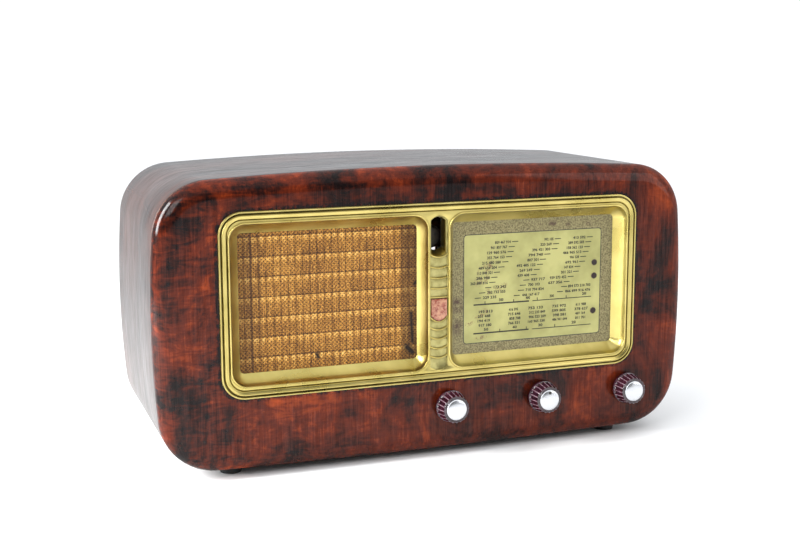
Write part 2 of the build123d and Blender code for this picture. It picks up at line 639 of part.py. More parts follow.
def dial_backplate():
    """The steel plate behind the dial, with its window and the two ears of the pointer rail."""
    left = BACKPLATE_GAP_TO_COLUMN
    right = OPENING_HALF_WIDTH + BAFFLE_LAP
    height = 2 * (OPENING_HALF_HEIGHT + BAFFLE_LAP)
    opening_width = 2 * (DIAL_HALF_WIDTH + GLASS_LAP - GASKET_WIDTH)
    opening_height = 2 * (RECESS_HALF_HEIGHT + GLASS_LAP - GASKET_WIDTH)
    plate = Pos((left + right) / 2, SURROUND_Z) * Rectangle(right - left, height)
    plate -= Pos(DIAL_X, SURROUND_Z) * Rectangle(opening_width, opening_height)
    result = slab(plate, PANEL_THICKNESS, BACKPLATE_BACK)
    rail_reach = DIAL_HALF_WIDTH + RAIL_EAR
    for side in (-1, 1):
        x = DIAL_X + side * DIAL_HALF_WIDTH
        result += block(x - RAIL_EAR / 2, x + RAIL_EAR / 2, PANEL_THICKNESS, RAIL_Y + RAIL_EAR_MARGIN,
                        RAIL_Z - RAIL_EAR_MARGIN, RAIL_Z + RAIL_EAR_MARGIN)
    return result - rod_x(RAIL_Y, RAIL_Z, RAIL_RADIUS, DIAL_X - rail_reach, DIAL_X + rail_reach)


def pointer_rail():
    """The round rail that the pointer slides on."""
    reach = DIAL_HALF_WIDTH + RAIL_EAR / 2
    return rod_x(RAIL_Y, RAIL_Z, RAIL_RADIUS, DIAL_X - reach, DIAL_X + reach)


def pointer():
    """The pointer with its carriage, half way along the scale."""
    half = CARRIAGE_SIZE / 2
    half_length = CARRIAGE_LENGTH / 2
    carriage = block(DIAL_X - half_length, DIAL_X + half_length, RAIL_Y - half, RAIL_Y + half, RAIL_Z - half,
                     RAIL_Z + half)
    carriage -= rod_x(RAIL_Y, RAIL_Z, RAIL_RADIUS + RUNNING_CLEARANCE, DIAL_X - CARRIAGE_LENGTH,
                      DIAL_X + CARRIAGE_LENGTH)
    needle_front = RAIL_Y - half
    needle = block(DIAL_X - POINTER_WIDTH / 2, DIAL_X + POINTER_WIDTH / 2, needle_front,
                   needle_front + POINTER_THICKNESS, RAIL_Z - half - POINTER_LENGTH, RAIL_Z - half)
    return carriage + needle


def lamp_places():
    """The two dial lamps stand outside the pointer's travel."""
    reach = DIAL_HALF_WIDTH - LAMP_HOLDER_RADIUS - LAMP_EDGE_GAP
    return [(DIAL_X + side * reach, SURROUND_Z - LAMP_LEVEL_SHARE * RECESS_HALF_HEIGHT) for side in (-1, 1)]


def dial_reflector():
    """The white plate behind the pointer, on four posts, with two lamp holes."""
    half_width = DIAL_HALF_WIDTH - REFLECTOR_MARGIN_X
    half_height = RECESS_HALF_HEIGHT - REFLECTOR_MARGIN_Z
    plate = slab(Pos(DIAL_X, SURROUND_Z) * Rectangle(2 * half_width, 2 * half_height), REFLECTOR_FRONT,
                 REFLECTOR_BACK)
    for x, z in lamp_places():
        plate -= rod_y(x, z, LAMP_HOLDER_RADIUS, REFLECTOR_FRONT - 1, REFLECTOR_BACK + 1)
    post = DIAL_HALF_WIDTH + GLASS_LAP
    for side in (-1, 1):
        inner = DIAL_X + side * (half_width - REFLECTOR_EAR)
        outer = DIAL_X + side * (post + REFLECTOR_EAR)
        for level in (-1, 1):
            z = SURROUND_Z + level * half_height * REFLECTOR_POST_SHARE
            plate += block(min(inner, outer), max(inner, outer), REFLECTOR_FRONT, REFLECTOR_BACK,
                           z - REFLECTOR_EAR, z + REFLECTOR_EAR)
            plate += rod_y(DIAL_X + side * post, z, REFLECTOR_POST_RADIUS, BACKPLATE_BACK, REFLECTOR_FRONT)
    return plate


def dial_lamps():
    """The two small bulbs of the dial."""
    bulbs = []
    for x, z in lamp_places():
        base = REFLECTOR_FRONT
        stem = rod_y(x, z, LAMP_RADIUS * 0.75, base - LAMP_LENGTH / 2, base)
        bulbs.append(stem + Pos(x, base - LAMP_LENGTH + LAMP_RADIUS, z) * Sphere(LAMP_RADIUS))
    return Compound(children=bulbs)


def lamp_holders():
    """The two holders that clip into the reflector."""
    holders = []
    back = REFLECTOR_FRONT + LAMP_HOLDER_LENGTH
    for x, z in lamp_places():
        holders.append(rod_y(x, z, LAMP_HOLDER_RADIUS, REFLECTOR_FRONT, back))
    return Compound(children=holders)


def knob():
    """A fluted knob about the depth axis, with a blind bore and a seat for its cap."""
    back = -KNOB_STANDOFF
    face = -KNOB_REACH + CAP_DOME
    seat = face + CAP_SEAT
    bore_end = face + SHAFT_END_WALL
    skirt_front = back - KNOB_SKIRT
    reach = KNOB_BASE_RADIUS - KNOB_EDGE - KNOB_FLUTE_DEPTH + KNOB_FLUTE_RADIUS
    outline = [
        (SHAFT_RADIUS, back), (KNOB_BASE_RADIUS - KNOB_EDGE, back), (KNOB_BASE_RADIUS, back - KNOB_EDGE),
        (KNOB_BASE_RADIUS, skirt_front + KNOB_EDGE / 2), (KNOB_BASE_RADIUS - KNOB_EDGE, skirt_front),
        (KNOB_FACE_RADIUS, face + KNOB_FACE_EDGE), (KNOB_FACE_RADIUS - KNOB_FACE_EDGE, face),
        (CAP_RADIUS, face), (CAP_RADIUS, seat), (0, seat), (0, bore_end), (SHAFT_RADIUS, bore_end)]
    body = turned(outline, 0, 0)
    taper = KNOB_BASE_RADIUS - KNOB_EDGE - KNOB_FACE_RADIUS
    lean = math.degrees(math.atan2(taper, skirt_front - face - KNOB_FACE_EDGE))
    length = 1.2 * (skirt_front - face)
    flute = Pos(reach, skirt_front, 0) * Rot(0, 0, -lean) * rod_y(0, 0, KNOB_FLUTE_RADIUS, -length, -KNOB_EDGE / 2)
    for index in range(KNOB_FLUTES):
        body -= Rot(0, 360 * index / KNOB_FLUTES, 0) * flute
    return body


def knob_cap():
    """The domed metal cap in the face of a knob."""
    seat = -KNOB_REACH + CAP_DOME + CAP_SEAT
    dome_rise = CAP_DOME * 0.7
    dome_radius = bow_radius(CAP_RADIUS, dome_rise)
    disc = rod_y(0, 0, CAP_RADIUS, -KNOB_REACH - CAP_DOME, seat)
    return disc & Pos(0, dome_radius - KNOB_REACH, 0) * Sphere(dome_radius)


def shaft_front():
    """The depth of the front end of every shaft, at the bottom of the knob's bore."""
    return -KNOB_REACH + CAP_DOME + SHAFT_END_WALL


def control_shaft(x, end):
    """The shaft of one control."""
    return rod_y(x, KNOB_Z, SHAFT_RADIUS, shaft_front(), end)


def tuning_spindle():
    """The tuning shaft, thicker where the drive cord winds on it."""
    end = CHASSIS_FRONT + TUNING_BUSHING_LENGTH + SHAFT_PROUD
    wound_back = CHASSIS_FRONT - BUSHING_REACH - SPINDLE_END_PLAY
    thick = rod_y(TUNING_X, KNOB_Z, TUNING_SPINDLE_RADIUS, wound_back - TUNING_SPINDLE_WOUND, wound_back)
    return control_shaft(TUNING_X, end) + thick


def bushing(x, back):
    """The threaded neck of a control, through the front wall of the chassis."""
    return rod_y(x, KNOB_Z, BUSHING_RADIUS, CHASSIS_FRONT - BUSHING_REACH, back)


def bored(shape, x, back):
    """Cut the running bore for a shaft."""
    return shape - rod_y(x, KNOB_Z, SHAFT_RADIUS + RUNNING_CLEARANCE, 0, back)


def volume_control():
    """The volume control with its mains switch, in a round can."""
    wall = CHASSIS_FRONT + CHASSIS_SHEET
    can = rod_y(VOLUME_X, KNOB_Z, CONTROL_RADIUS, wall, wall + VOLUME_CAN_LENGTH)
    return bored(can + bushing(VOLUME_X, wall), VOLUME_X, wall + VOLUME_CAN_LENGTH - BORE_STOP)


def wave_switch():
    """The wave-change switch: a plate, two wafers and two tie rods."""
    wall = CHASSIS_FRONT + CHASSIS_SHEET
    half = WAVE_WAFER_SIZE / 2
    body = bushing(WAVE_X, wall)
    for share in WAFER_SHARES:
        y = wall + share * WAVE_WAFER_LENGTH
        body += block(WAVE_X - half, WAVE_X + half, y, y + WAFER_THICKNESS, KNOB_Z - WAFER_HALF_HEIGHT,
                      KNOB_Z + WAFER_HALF_HEIGHT)
    for side in (-1, 1):
        body += rod_y(WAVE_X + side * (half - TIE_ROD_INSET), KNOB_Z, TIE_ROD_RADIUS, wall,
                      wall + WAVE_WAFER_LENGTH)
    return bored(body, WAVE_X, wall + WAVE_WAFER_LENGTH)


def tuning_bushing():
    """The plain bearing of the tuning shaft."""
    wall = CHASSIS_FRONT + CHASSIS_SHEET
    end = CHASSIS_FRONT + TUNING_BUSHING_LENGTH
    body = bushing(TUNING_X, end) + rod_y(TUNING_X, KNOB_Z, NUT_RADIUS, wall, wall + BUSHING_COLLAR)
    return bored(body, TUNING_X, end + 1)


def control_nuts():
    """The three nuts in front of the chassis wall."""
    nuts = []
    for x in (VOLUME_X, WAVE_X, TUNING_X):
        face = Pos(x, KNOB_Z) * (RegularPolygon(NUT_RADIUS, 6) - Circle(BUSHING_RADIUS))
        nuts.append(slab(face, CHASSIS_FRONT - NUT_THICKNESS, CHASSIS_FRONT))
    return Compound(children=nuts)


def tuning_drum():
    """The cord drum on the capacitor shaft, with its groove, hub and six round openings."""
    middle = (DRUM_FRONT + DRUM_BACK) / 2
    rim = DRUM_RADIUS + DRUM_RIM
    groove_front = middle - DRUM_GROOVE_WIDTH / 2
    groove_back = middle + DRUM_GROOVE_WIDTH / 2
    outline = [
        (SHAFT_RADIUS, DRUM_FRONT), (rim, DRUM_FRONT), (rim, groove_front), (DRUM_RADIUS, groove_front),
        (DRUM_RADIUS, groove_back), (rim, groove_back), (rim, DRUM_BACK), (SHAFT_RADIUS, DRUM_BACK)]
    drum = turned(outline, 0, 0)
    dish_radius = DRUM_RADIUS - DRUM_DISH_RIM
    dish = rod_y(0, 0, dish_radius, DRUM_FRONT - 1, DRUM_FRONT + DRUM_THICKNESS / 3)
    drum -= dish - rod_y(0, 0, DRUM_DISH_HUB, DRUM_FRONT - 1, DRUM_FRONT + DRUM_THICKNESS / 3)
    hole_reach = (dish_radius + DRUM_DISH_HUB) / 2
    hole_radius = (dish_radius - DRUM_DISH_HUB) / 4
    for index in range(DRUM_HOLE_COUNT):
        angle = 2 * math.pi * index / DRUM_HOLE_COUNT
        x = hole_reach * math.cos(angle)
        z = hole_reach * math.sin(angle)
        drum -= rod_y(x, z, hole_radius, DRUM_FRONT - 1, DRUM_BACK + 1)
    return Pos(GANG_X, 0, TUNING_SHAFT_Z) * drum


def vane_depths():
    """The front depth of each moving vane."""
    first = (GANG_FRONT + GANG_BACK) / 2 - VANE_PITCH * (VANE_COUNT - 1) / 2 - VANE_THICKNESS / 2
    return [first + VANE_PITCH * index for index in range(VANE_COUNT)]


def capacitor_rotor():
    """The capacitor shaft with its half-round vanes, half way into the fixed ones."""
    shaft = rod_y(0, 0, SHAFT_RADIUS, DRUM_FRONT, GANG_BACK)
    hub_front = vane_depths()[0] - 2
    hub_back = vane_depths()[-1] + VANE_THICKNESS + 2
    rotor = shaft + rod_y(0, 0, ROTOR_HUB_RADIUS, hub_front, hub_back)
    half_disc = Circle(ROTOR_RADIUS) & Pos(ROTOR_RADIUS, 0) * Rectangle(2 * ROTOR_RADIUS, 2 * ROTOR_RADIUS)
    for depth in vane_depths():
        rotor += slab(half_disc, depth, depth + VANE_THICKNESS)
    return Pos(GANG_X, 0, TUNING_SHAFT_Z) * rotor


def capacitor_stator():
    """The fixed vanes in the upper half, tied by two bars that the frame carries."""
    reach = ROTOR_RADIUS + STATOR_GAP
    clear = ROTOR_HUB_RADIUS + STATOR_GAP
    vane = Pos(0, (reach + clear) / 2) * Rectangle(2 * reach, reach - clear)
    vanes = None
    for depth in vane_depths()[:-1]:
        start = depth + VANE_THICKNESS + (VANE_PITCH - 2 * VANE_THICKNESS) / 2
        plate = slab(vane, start, start + VANE_THICKNESS)
        vanes = plate if vanes is None else vanes + plate
    low = clear + (reach - clear - STATOR_BAR_HEIGHT) / 2
    for side in (-1, 1):
        bar = side * reach
        vanes += block(bar - STATOR_BAR_WIDTH / 2, bar + STATOR_BAR_WIDTH / 2, GANG_FRONT + GANG_PLATE,
                       GANG_BACK - GANG_PLATE, low, low + STATOR_BAR_HEIGHT)
    return Pos(GANG_X, 0, TUNING_SHAFT_Z) * vanes


def capacitor_frame():
    """The U-shaped frame of the capacitor, on the chassis."""
    low = CHASSIS_TOP
    high = TUNING_SHAFT_Z + ROTOR_RADIUS + STATOR_GAP
    left = GANG_X - GANG_HALF_WIDTH
    right = GANG_X + GANG_HALF_WIDTH
    frame = block(left, right, GANG_FRONT, GANG_BACK, low, low + GANG_PLATE)
    frame += block(left, right, GANG_FRONT, GANG_FRONT + GANG_PLATE, low, high)
    frame += block(left, right, GANG_BACK - GANG_PLATE, GANG_BACK, low, high)
    bore = SHAFT_RADIUS + RUNNING_CLEARANCE
    return frame - rod_y(GANG_X, TUNING_SHAFT_Z, bore, GANG_FRONT - 1, GANG_BACK + 1)


def chassis():
    """The folded steel channel, open underneath, with holes for the controls."""
    half = CHASSIS_WIDTH / 2 - CHASSIS_SHEET
    tray = block(-half, half, CHASSIS_FRONT, CHASSIS_BACK, CHASSIS_BOTTOM, CHASSIS_TOP)
    tray -= block(-half - 1, half + 1, CHASSIS_FRONT + CHASSIS_SHEET, CHASSIS_BACK - CHASSIS_SHEET,
                  CHASSIS_BOTTOM - 1, CHASSIS_TOP - CHASSIS_SHEET)
    for x in (VOLUME_X, WAVE_X, TUNING_X):
        tray -= rod_y(x, KNOB_Z, BUSHING_RADIUS, CHASSIS_FRONT - 1, CHASSIS_FRONT + 2)
    return tray


def chassis_ends():
    """The two plates that close the ends of the channel."""
    plates = []
    for side in (-1, 1):
        outer = side * CHASSIS_WIDTH / 2
        inner = outer - side * CHASSIS_SHEET
        plate = block(min(outer, inner), max(outer, inner), CHASSIS_FRONT, CHASSIS_BACK, CHASSIS_BOTTOM,
                      CHASSIS_TOP)
        plates.append(plate)
    return Compound(children=plates)


def chassis_runners():
    """The two wooden battens between the chassis and the cabinet floor."""
    runners = []
    half = RUNNER_WIDTH / 2
    for side in (-1, 1):
        x = side * RUNNER_SPREAD / 2
        batten = block(x - half, x + half, CHASSIS_FRONT, CHASSIS_BACK, 0, CHASSIS_BOTTOM)
        runners.append((batten & cabinet_room(CHASSIS_FRONT, CHASSIS_BACK)).solid())
    return Compound(children=runners)


def transformer_core():
    """The stacked laminations of the mains transformer, with two windows."""
    x, y = TRANSFORMER_X, TRANSFORMER_Y
    core = block(x - CORE_WIDTH / 2, x + CORE_WIDTH / 2, y - CORE_DEPTH / 2, y + CORE_DEPTH / 2, CHASSIS_TOP,
                 CHASSIS_TOP + CORE_HEIGHT)
    for side in (-1, 1):
        low_x = x + side * CORE_LIMB
        high_x = x + side * (CORE_WIDTH / 2 - CORE_LIMB)
        core -= block(min(low_x, high_x), max(low_x, high_x), y - CORE_DEPTH, y + CORE_DEPTH,
                      CHASSIS_TOP + CORE_LIMB, CHASSIS_TOP + CORE_HEIGHT - CORE_LIMB)
    return core


def transformer_winding():
    """The winding round the middle limb."""
    x, y = TRANSFORMER_X, TRANSFORMER_Y
    half = CORE_WIDTH / 2 - CORE_LIMB
    low = CHASSIS_TOP + CORE_LIMB
    high = CHASSIS_TOP + CORE_HEIGHT - CORE_LIMB
    half_core = CORE_DEPTH / 2
    coil = block(x - half, x + half, y - BOBBIN_DEPTH / 2, y + BOBBIN_DEPTH / 2, low, high)
    return coil - block(x - CORE_LIMB, x + CORE_LIMB, y - half_core, y + half_core, low - 1, high + 1)


def valve_bases():
    """The four valve bases, each on its socket."""
    bases = []
    for x in VALVE_XS:
        top = CHASSIS_TOP + VALVE_SOCKET_HEIGHT
        socket = rod_z(x, VALVE_Y, VALVE_BASE_RADIUS + VALVE_SOCKET_RIM, CHASSIS_TOP, top)
        bases.append(socket + rod_z(x, VALVE_Y, VALVE_BASE_RADIUS, top, top + VALVE_BASE_HEIGHT))
    return Compound(children=bases)


def valve_glass(x):
    """One glass bulb with a domed top and its tip."""
    low = CHASSIS_TOP + VALVE_SOCKET_HEIGHT + VALVE_BASE_HEIGHT
    bulb = rod_z(x, VALVE_Y, VALVE_GLASS_RADIUS, low, low + VALVE_GLASS_HEIGHT - VALVE_GLASS_RADIUS)
    return bulb + Pos(x, VALVE_Y, low + VALVE_GLASS_HEIGHT - VALVE_GLASS_RADIUS) * Sphere(VALVE_GLASS_RADIUS)


def coil_cans():
    """The two square aluminium cans of the intermediate coils."""
    half = CAN_SIZE / 2
    cans = []
    top = CHASSIS_TOP + CAN_HEIGHT
    for x in CAN_XS:
        can = block(x - half, x + half, VALVE_Y - half, VALVE_Y + half, CHASSIS_TOP, top)
        cans.append(fillet(can.edges().filter_by(Axis.Z), CAN_CORNER))
    return Compound(children=cans)


def electrolytic_can():
    """The round smoothing capacitor with its rolled top edge."""
    top = CHASSIS_TOP + ELECTROLYTIC_HEIGHT
    can = rod_z(ELECTROLYTIC_X, ELECTROLYTIC_Y, ELECTROLYTIC_RADIUS, CHASSIS_TOP, top)
    return fillet(can.edges().group_by(Axis.Z)[-1], ELECTROLYTIC_EDGE)


def eye_tube():
    """The tuning eye tube, lying along the depth behind its slot."""
    end = EYE_FRONT + EYE_LENGTH
    body = rod_y(0, EYE_Z, EYE_RADIUS, EYE_FRONT, end)
    body = fillet(body.edges().group_by(Axis.Y)[0], EYE_EDGE_RADIUS)
    return body + rod_y(0, EYE_Z, EYE_BASE_RADIUS, end, end + EYE_BASE_LENGTH)


def eye_bracket():
    """The strap that holds the eye tube to the back of the front board."""
    half = EYE_BRACKET_HALF_WIDTH
    arm_z = SURROUND_Z + OPENING_HALF_HEIGHT + BAFFLE_LAP + EYE_BRACKET_GAP
    ring_front = EYE_FRONT + EYE_LENGTH / 2 - EYE_STRAP_WIDTH
    drop_back = EYE_FRONT + EYE_LENGTH / 2
    drop_front = drop_back - EYE_STRAP
    outer = EYE_RADIUS + EYE_STRAP
    tab_back = PANEL_THICKNESS + EYE_STRAP
    bracket = block(-half, half, PANEL_THICKNESS, tab_back, arm_z, arm_z + EYE_BRACKET_TAB)
    bracket += block(-half, half, PANEL_THICKNESS, drop_back, arm_z, arm_z + EYE_STRAP)
    bracket += block(-half, half, drop_front, drop_back, EYE_Z + EYE_RADIUS, arm_z)
    ring = rod_y(0, EYE_Z, outer, ring_front, drop_back)
    return bracket + (ring - rod_y(0, EYE_Z, EYE_RADIUS, ring_front - 1, drop_back + 1))


def cover_face():
    """The outline of the back cover."""
    return cabinet_outline(SHELL_THICKNESS + COVER_CLEARANCE)


def vent_rows():
    """The slots of the back cover, in rows that leave out the ends."""
    slot = SlotOverall(VENT_LENGTH, VENT_WIDTH, rotation=90)
    start = -VENT_PITCH * (VENT_COUNT - 1) / 2
    levels = [VENT_TOP_ROW - VENT_ROW_PITCH * row for row in range(VENT_ROW_COUNT)]
    return [Pos(start + VENT_PITCH * index, z) * slot for z in levels for index in range(VENT_COUNT)]


def cover_screw_places():
    """Where the cover screws go into the corner blocks."""
    reach_x = CABINET_WIDTH / 2 - SHELL_THICKNESS - BLOCK_SIZE / 2
    low = FOOT_HEIGHT + SHELL_THICKNESS + BLOCK_SIZE * 0.8
    high = CABINET_TOP - SHELL_THICKNESS - BLOCK_SIZE * 0.9
    return [(side * reach_x, z) for side in (-1, 1) for z in (low, high)]


def rear_cover():
    """The board that closes the back, with vents, the socket window, the gland hole and screw holes."""
    face = cover_face()
    face -= vent_rows()
    window = Rectangle(STRIP_LENGTH + 2 * STRIP_WINDOW_GAP, STRIP_HEIGHT + 2 * STRIP_WINDOW_GAP)
    face -= Pos(STRIP_X, STRIP_Z) * window
    face -= Pos(GLAND_X, GLAND_Z) * Circle(GLAND_NECK_RADIUS)
    for x, z in cover_screw_places():
        face -= Pos(x, z) * Circle(COVER_SCREW_RADIUS)
    return slab(face, COVER_FRONT, COVER_BACK)


def corner_blocks():
    """The glued wooden blocks that the cover screws bite into."""
    blocks = []
    for x, z in cover_screw_places():
        half = BLOCK_SIZE / 2
        outer_x = math.copysign(CABINET_WIDTH / 2, x)
        inner_x = x - math.copysign(half, x)
        raw = block(min(outer_x, inner_x), max(outer_x, inner_x), COVER_FRONT - BLOCK_LENGTH, COVER_FRONT,
                    z - half, z + half)
        seated = raw & cabinet_room(COVER_FRONT - BLOCK_LENGTH, COVER_FRONT)
        seated -= rod_y(x, z, COVER_SCREW_RADIUS, COVER_BACK - COVER_SCREW_LENGTH, COVER_BACK)
        blocks.append(seated.solid())
    return Compound(children=blocks)


def cover_screws():
    """The round-headed screws of the back cover."""
    screws = []
    half_slot = COVER_SCREW_SLOT / 2
    for x, z in cover_screw_places():
        shank = rod_y(x, z, COVER_SCREW_RADIUS, COVER_BACK - COVER_SCREW_LENGTH, COVER_BACK)
        head = rod_y(x, z, COVER_SCREW_HEAD_RADIUS, COVER_BACK, COVER_BACK + COVER_SCREW_HEAD)
        head = fillet(head.edges().group_by(Axis.Y)[-1], COVER_SCREW_HEAD_ROUND)
        slot_front = COVER_BACK + COVER_SCREW_HEAD / 2
        head -= block(x - half_slot, x + half_slot, slot_front, slot_front + COVER_SCREW_HEAD,
                      z - COVER_SCREW_HEAD_RADIUS, z + COVER_SCREW_HEAD_RADIUS)
        screws.append(shank + head)
    return Compound(children=screws)


def socket_places():
    """The centres of the aerial, earth and pick-up sockets."""
    start = STRIP_X - SOCKET_PITCH * (SOCKET_COUNT - 1) / 2
    return [start + SOCKET_PITCH * index for index in range(SOCKET_COUNT)]


def socket_strip():
    """The moulded strip on the back wall of the chassis."""
    half = STRIP_LENGTH / 2
    strip = block(STRIP_X - half, STRIP_X + half, CHASSIS_BACK, CHASSIS_BACK + STRIP_REACH,
                  STRIP_Z - STRIP_HEIGHT / 2, STRIP_Z + STRIP_HEIGHT / 2)
    strip = fillet(strip.edges().filter_by(Axis.Y), STRIP_CORNER)
    end = CHASSIS_BACK + STRIP_REACH
    for x in socket_places():
        strip -= rod_y(x, STRIP_Z, SOCKET_BORE_RADIUS + SOCKET_WALL, end - SOCKET_DEPTH, end + 1)
    return strip


def socket_sleeves():
    """The four brass sleeves of the strip."""
    end = CHASSIS_BACK + STRIP_REACH
    sleeves = []
    for x in socket_places():
        tube = rod_y(x, STRIP_Z, SOCKET_BORE_RADIUS + SOCKET_WALL, end - SOCKET_DEPTH, end + SOCKET_PROUD)
        sleeves.append(tube - rod_y(x, STRIP_Z, SOCKET_BORE_RADIUS, end - SOCKET_DEPTH - 1, end + 2))
    return Compound(children=sleeves)


def mains_gland():
    """The rubber gland for the mains lead, sprung into the cover."""
    outline = [
        (GLAND_BORE_RADIUS, COVER_FRONT - GLAND_FLANGE), (GLAND_FLANGE_RADIUS, COVER_FRONT - GLAND_FLANGE),
        (GLAND_FLANGE_RADIUS, COVER_FRONT), (GLAND_NECK_RADIUS, COVER_FRONT),
        (GLAND_NECK_RADIUS, COVER_BACK), (GLAND_FLANGE_RADIUS, COVER_BACK),
        (GLAND_FLANGE_RADIUS, COVER_BACK + GLAND_FLANGE),
        (GLAND_BORE_RADIUS, COVER_BACK + GLAND_FLANGE)]
    return turned(outline, GLAND_X, GLAND_Z)


def foot(x, y):
    """One rubber foot, seated on the bowed underside."""
    raw = Pos(x, y, 0) * Cone(FOOT_RADIUS - FOOT_DRAFT, FOOT_RADIUS, FOOT_HEIGHT + BOTTOM_BOW,
                              align=(Align.CENTER, Align.CENTER, Align.MIN))
    return raw - slab(cabinet_outline(), 0, CABINET_DEPTH)


os.makedirs("parts", exist_ok=True)
save(front_panel(), "front_panel")
save(cabinet_shell(), "cabinet_shell")
save(surround(), "surround")
save(badge(), "badge")
save(speaker_cloth(), "speaker_cloth")
save(baffle_board(), "baffle_board")
save(speaker_basket(), "speaker_basket")
save(speaker_magnet(), "speaker_magnet")
save(speaker_cone(), "speaker_cone")
save(speaker_surround(), "speaker_surround")
save(output_transformer(), "output_transformer")
save(dial_glass(), "dial_glass")
save(dial_gasket(), "dial_gasket")
save(dial_backplate(), "dial_backplate")
save(pointer_rail(), "pointer_rail")
save(pointer(), "pointer")
save(dial_reflector(), "dial_reflector")
save(dial_lamps(), "dial_lamps")
save(lamp_holders(), "lamp_holders")

one_knob = knob()
one_cap = knob_cap()
volume_end = CHASSIS_FRONT + CHASSIS_SHEET + VOLUME_CAN_LENGTH - SHAFT_STOP
wave_end = CHASSIS_FRONT + CHASSIS_SHEET + WAVE_WAFER_LENGTH + SHAFT_PROUD
for name, x in (("volume", VOLUME_X), ("wave", WAVE_X), ("tuning", TUNING_X)):
    save(Pos(x, 0, KNOB_Z) * one_knob, f"{name}_knob")
    save(Pos(x, 0, KNOB_Z) * one_cap, f"{name}_knob_cap")
save(control_shaft(VOLUME_X, volume_end), "volume_shaft")
save(control_shaft(WAVE_X, wave_end), "wave_shaft")
save(tuning_spindle(), "tuning_spindle")
save(volume_control(), "volume_control")
save(wave_switch(), "wave_switch")
save(tuning_bushing(), "tuning_bushing")
save(control_nuts(), "control_nuts")
save(tuning_drum(), "tuning_drum")
save(capacitor_rotor(), "capacitor_rotor")
save(capacitor_stator(), "capacitor_stator")
save(capacitor_frame(), "capacitor_frame")
save(chassis(), "chassis")
save(chassis_ends(), "chassis_ends")
save(chassis_runners(), "chassis_runners")
save(transformer_core(), "transformer_core")
save(transformer_winding(), "transformer_winding")
save(valve_bases(), "valve_bases")
for number, x in enumerate(VALVE_XS, start=1):
    save(valve_glass(x), f"valve_glass_{number}")
save(coil_cans(), "coil_cans")
save(electrolytic_can(), "electrolytic_can")
save(eye_tube(), "eye_tube")
save(eye_bracket(), "eye_bracket")
save(rear_cover(), "rear_cover")
save(corner_blocks(), "corner_blocks")
save(cover_screws(), "cover_screws")
save(socket_strip(), "socket_strip")
save(socket_sleeves(), "socket_sleeves")
save(mains_gland(), "mains_gland")
foot_number = 0
for y in (FOOT_SETBACK, CABINET_DEPTH - FOOT_SETBACK):
    for side in (-1, 1):
        foot_number += 1
        save(foot(side * FOOT_SPREAD / 2, y), f"foot_{foot_number}")
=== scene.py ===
"""Dresses the table radio: veneered cabinet, gold surround, cloth, dial, knobs and what is behind them."""
import json
import logging
import math
import random
from collections.abc import Sequence
from dataclasses import dataclass
from enum import Enum

import bmesh
import bpy
from mathutils import Matrix, Vector


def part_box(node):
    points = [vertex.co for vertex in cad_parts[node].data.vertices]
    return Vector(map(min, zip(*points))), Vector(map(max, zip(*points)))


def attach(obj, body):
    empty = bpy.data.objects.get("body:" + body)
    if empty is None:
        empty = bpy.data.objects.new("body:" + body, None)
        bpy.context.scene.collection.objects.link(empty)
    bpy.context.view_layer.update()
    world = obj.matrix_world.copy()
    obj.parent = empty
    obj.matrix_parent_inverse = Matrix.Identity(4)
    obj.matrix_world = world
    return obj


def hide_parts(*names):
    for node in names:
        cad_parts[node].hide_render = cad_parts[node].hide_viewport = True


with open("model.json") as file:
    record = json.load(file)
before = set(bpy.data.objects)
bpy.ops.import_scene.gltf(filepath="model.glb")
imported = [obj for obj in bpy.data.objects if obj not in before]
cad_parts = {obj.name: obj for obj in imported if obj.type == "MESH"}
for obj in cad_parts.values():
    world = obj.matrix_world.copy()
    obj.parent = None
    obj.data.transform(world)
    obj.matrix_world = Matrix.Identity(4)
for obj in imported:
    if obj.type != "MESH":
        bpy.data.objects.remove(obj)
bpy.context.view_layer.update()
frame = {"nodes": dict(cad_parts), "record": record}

LOG = logging.getLogger("radio")
MM = 0.001
FRONT_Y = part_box("front_panel")[0].y
SURROUND_CORNER = 22.0 * MM
MERGE_DISTANCE = 1e-6

# Short names for types that recur; Steps is a table with a few numbers in each row
Edges = list[bmesh.types.BMEdge]
Material = bpy.types.Material
Mesh = bmesh.types.BMesh
Place = tuple[float, float, float]
Ring = list[Vector]
Socket = bpy.types.NodeSocket
Steps = tuple[tuple[float, ...], ...]


# Small tools


def linear(code: str) -> tuple[float, float, float, float]:
    """Turn an sRGB hex colour into linear light.

    Args:
        code: Six hex digits after a hash mark.

    Returns:
        Red, green, blue and a full alpha.
    """
    values = []
    for start in (1, 3, 5):
        share = int(code[start:start + 2], 16) / 255
        values.append(share / 12.92 if share <= 0.04045 else ((share + 0.055) / 1.055) ** 2.4)
    return values[0], values[1], values[2], 1.0


def spot(x: float, depth: float, z: float) -> Vector:
    """A point given by its depth behind the front of the wood."""
    return Vector((x, FRONT_Y + depth, z))


def centre_of(node: str) -> Vector:
    """The middle of a CAD node's box."""
    low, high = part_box(node)
    return (low + high) / 2


SURROUND_Z = centre_of("surround").z


def put(name: str, data: bpy.types.ID) -> bpy.types.Object:
    """Put a new object with its data into the scene."""
    made = bpy.data.objects.new(name, data)
    bpy.context.scene.collection.objects.link(made)
    return made


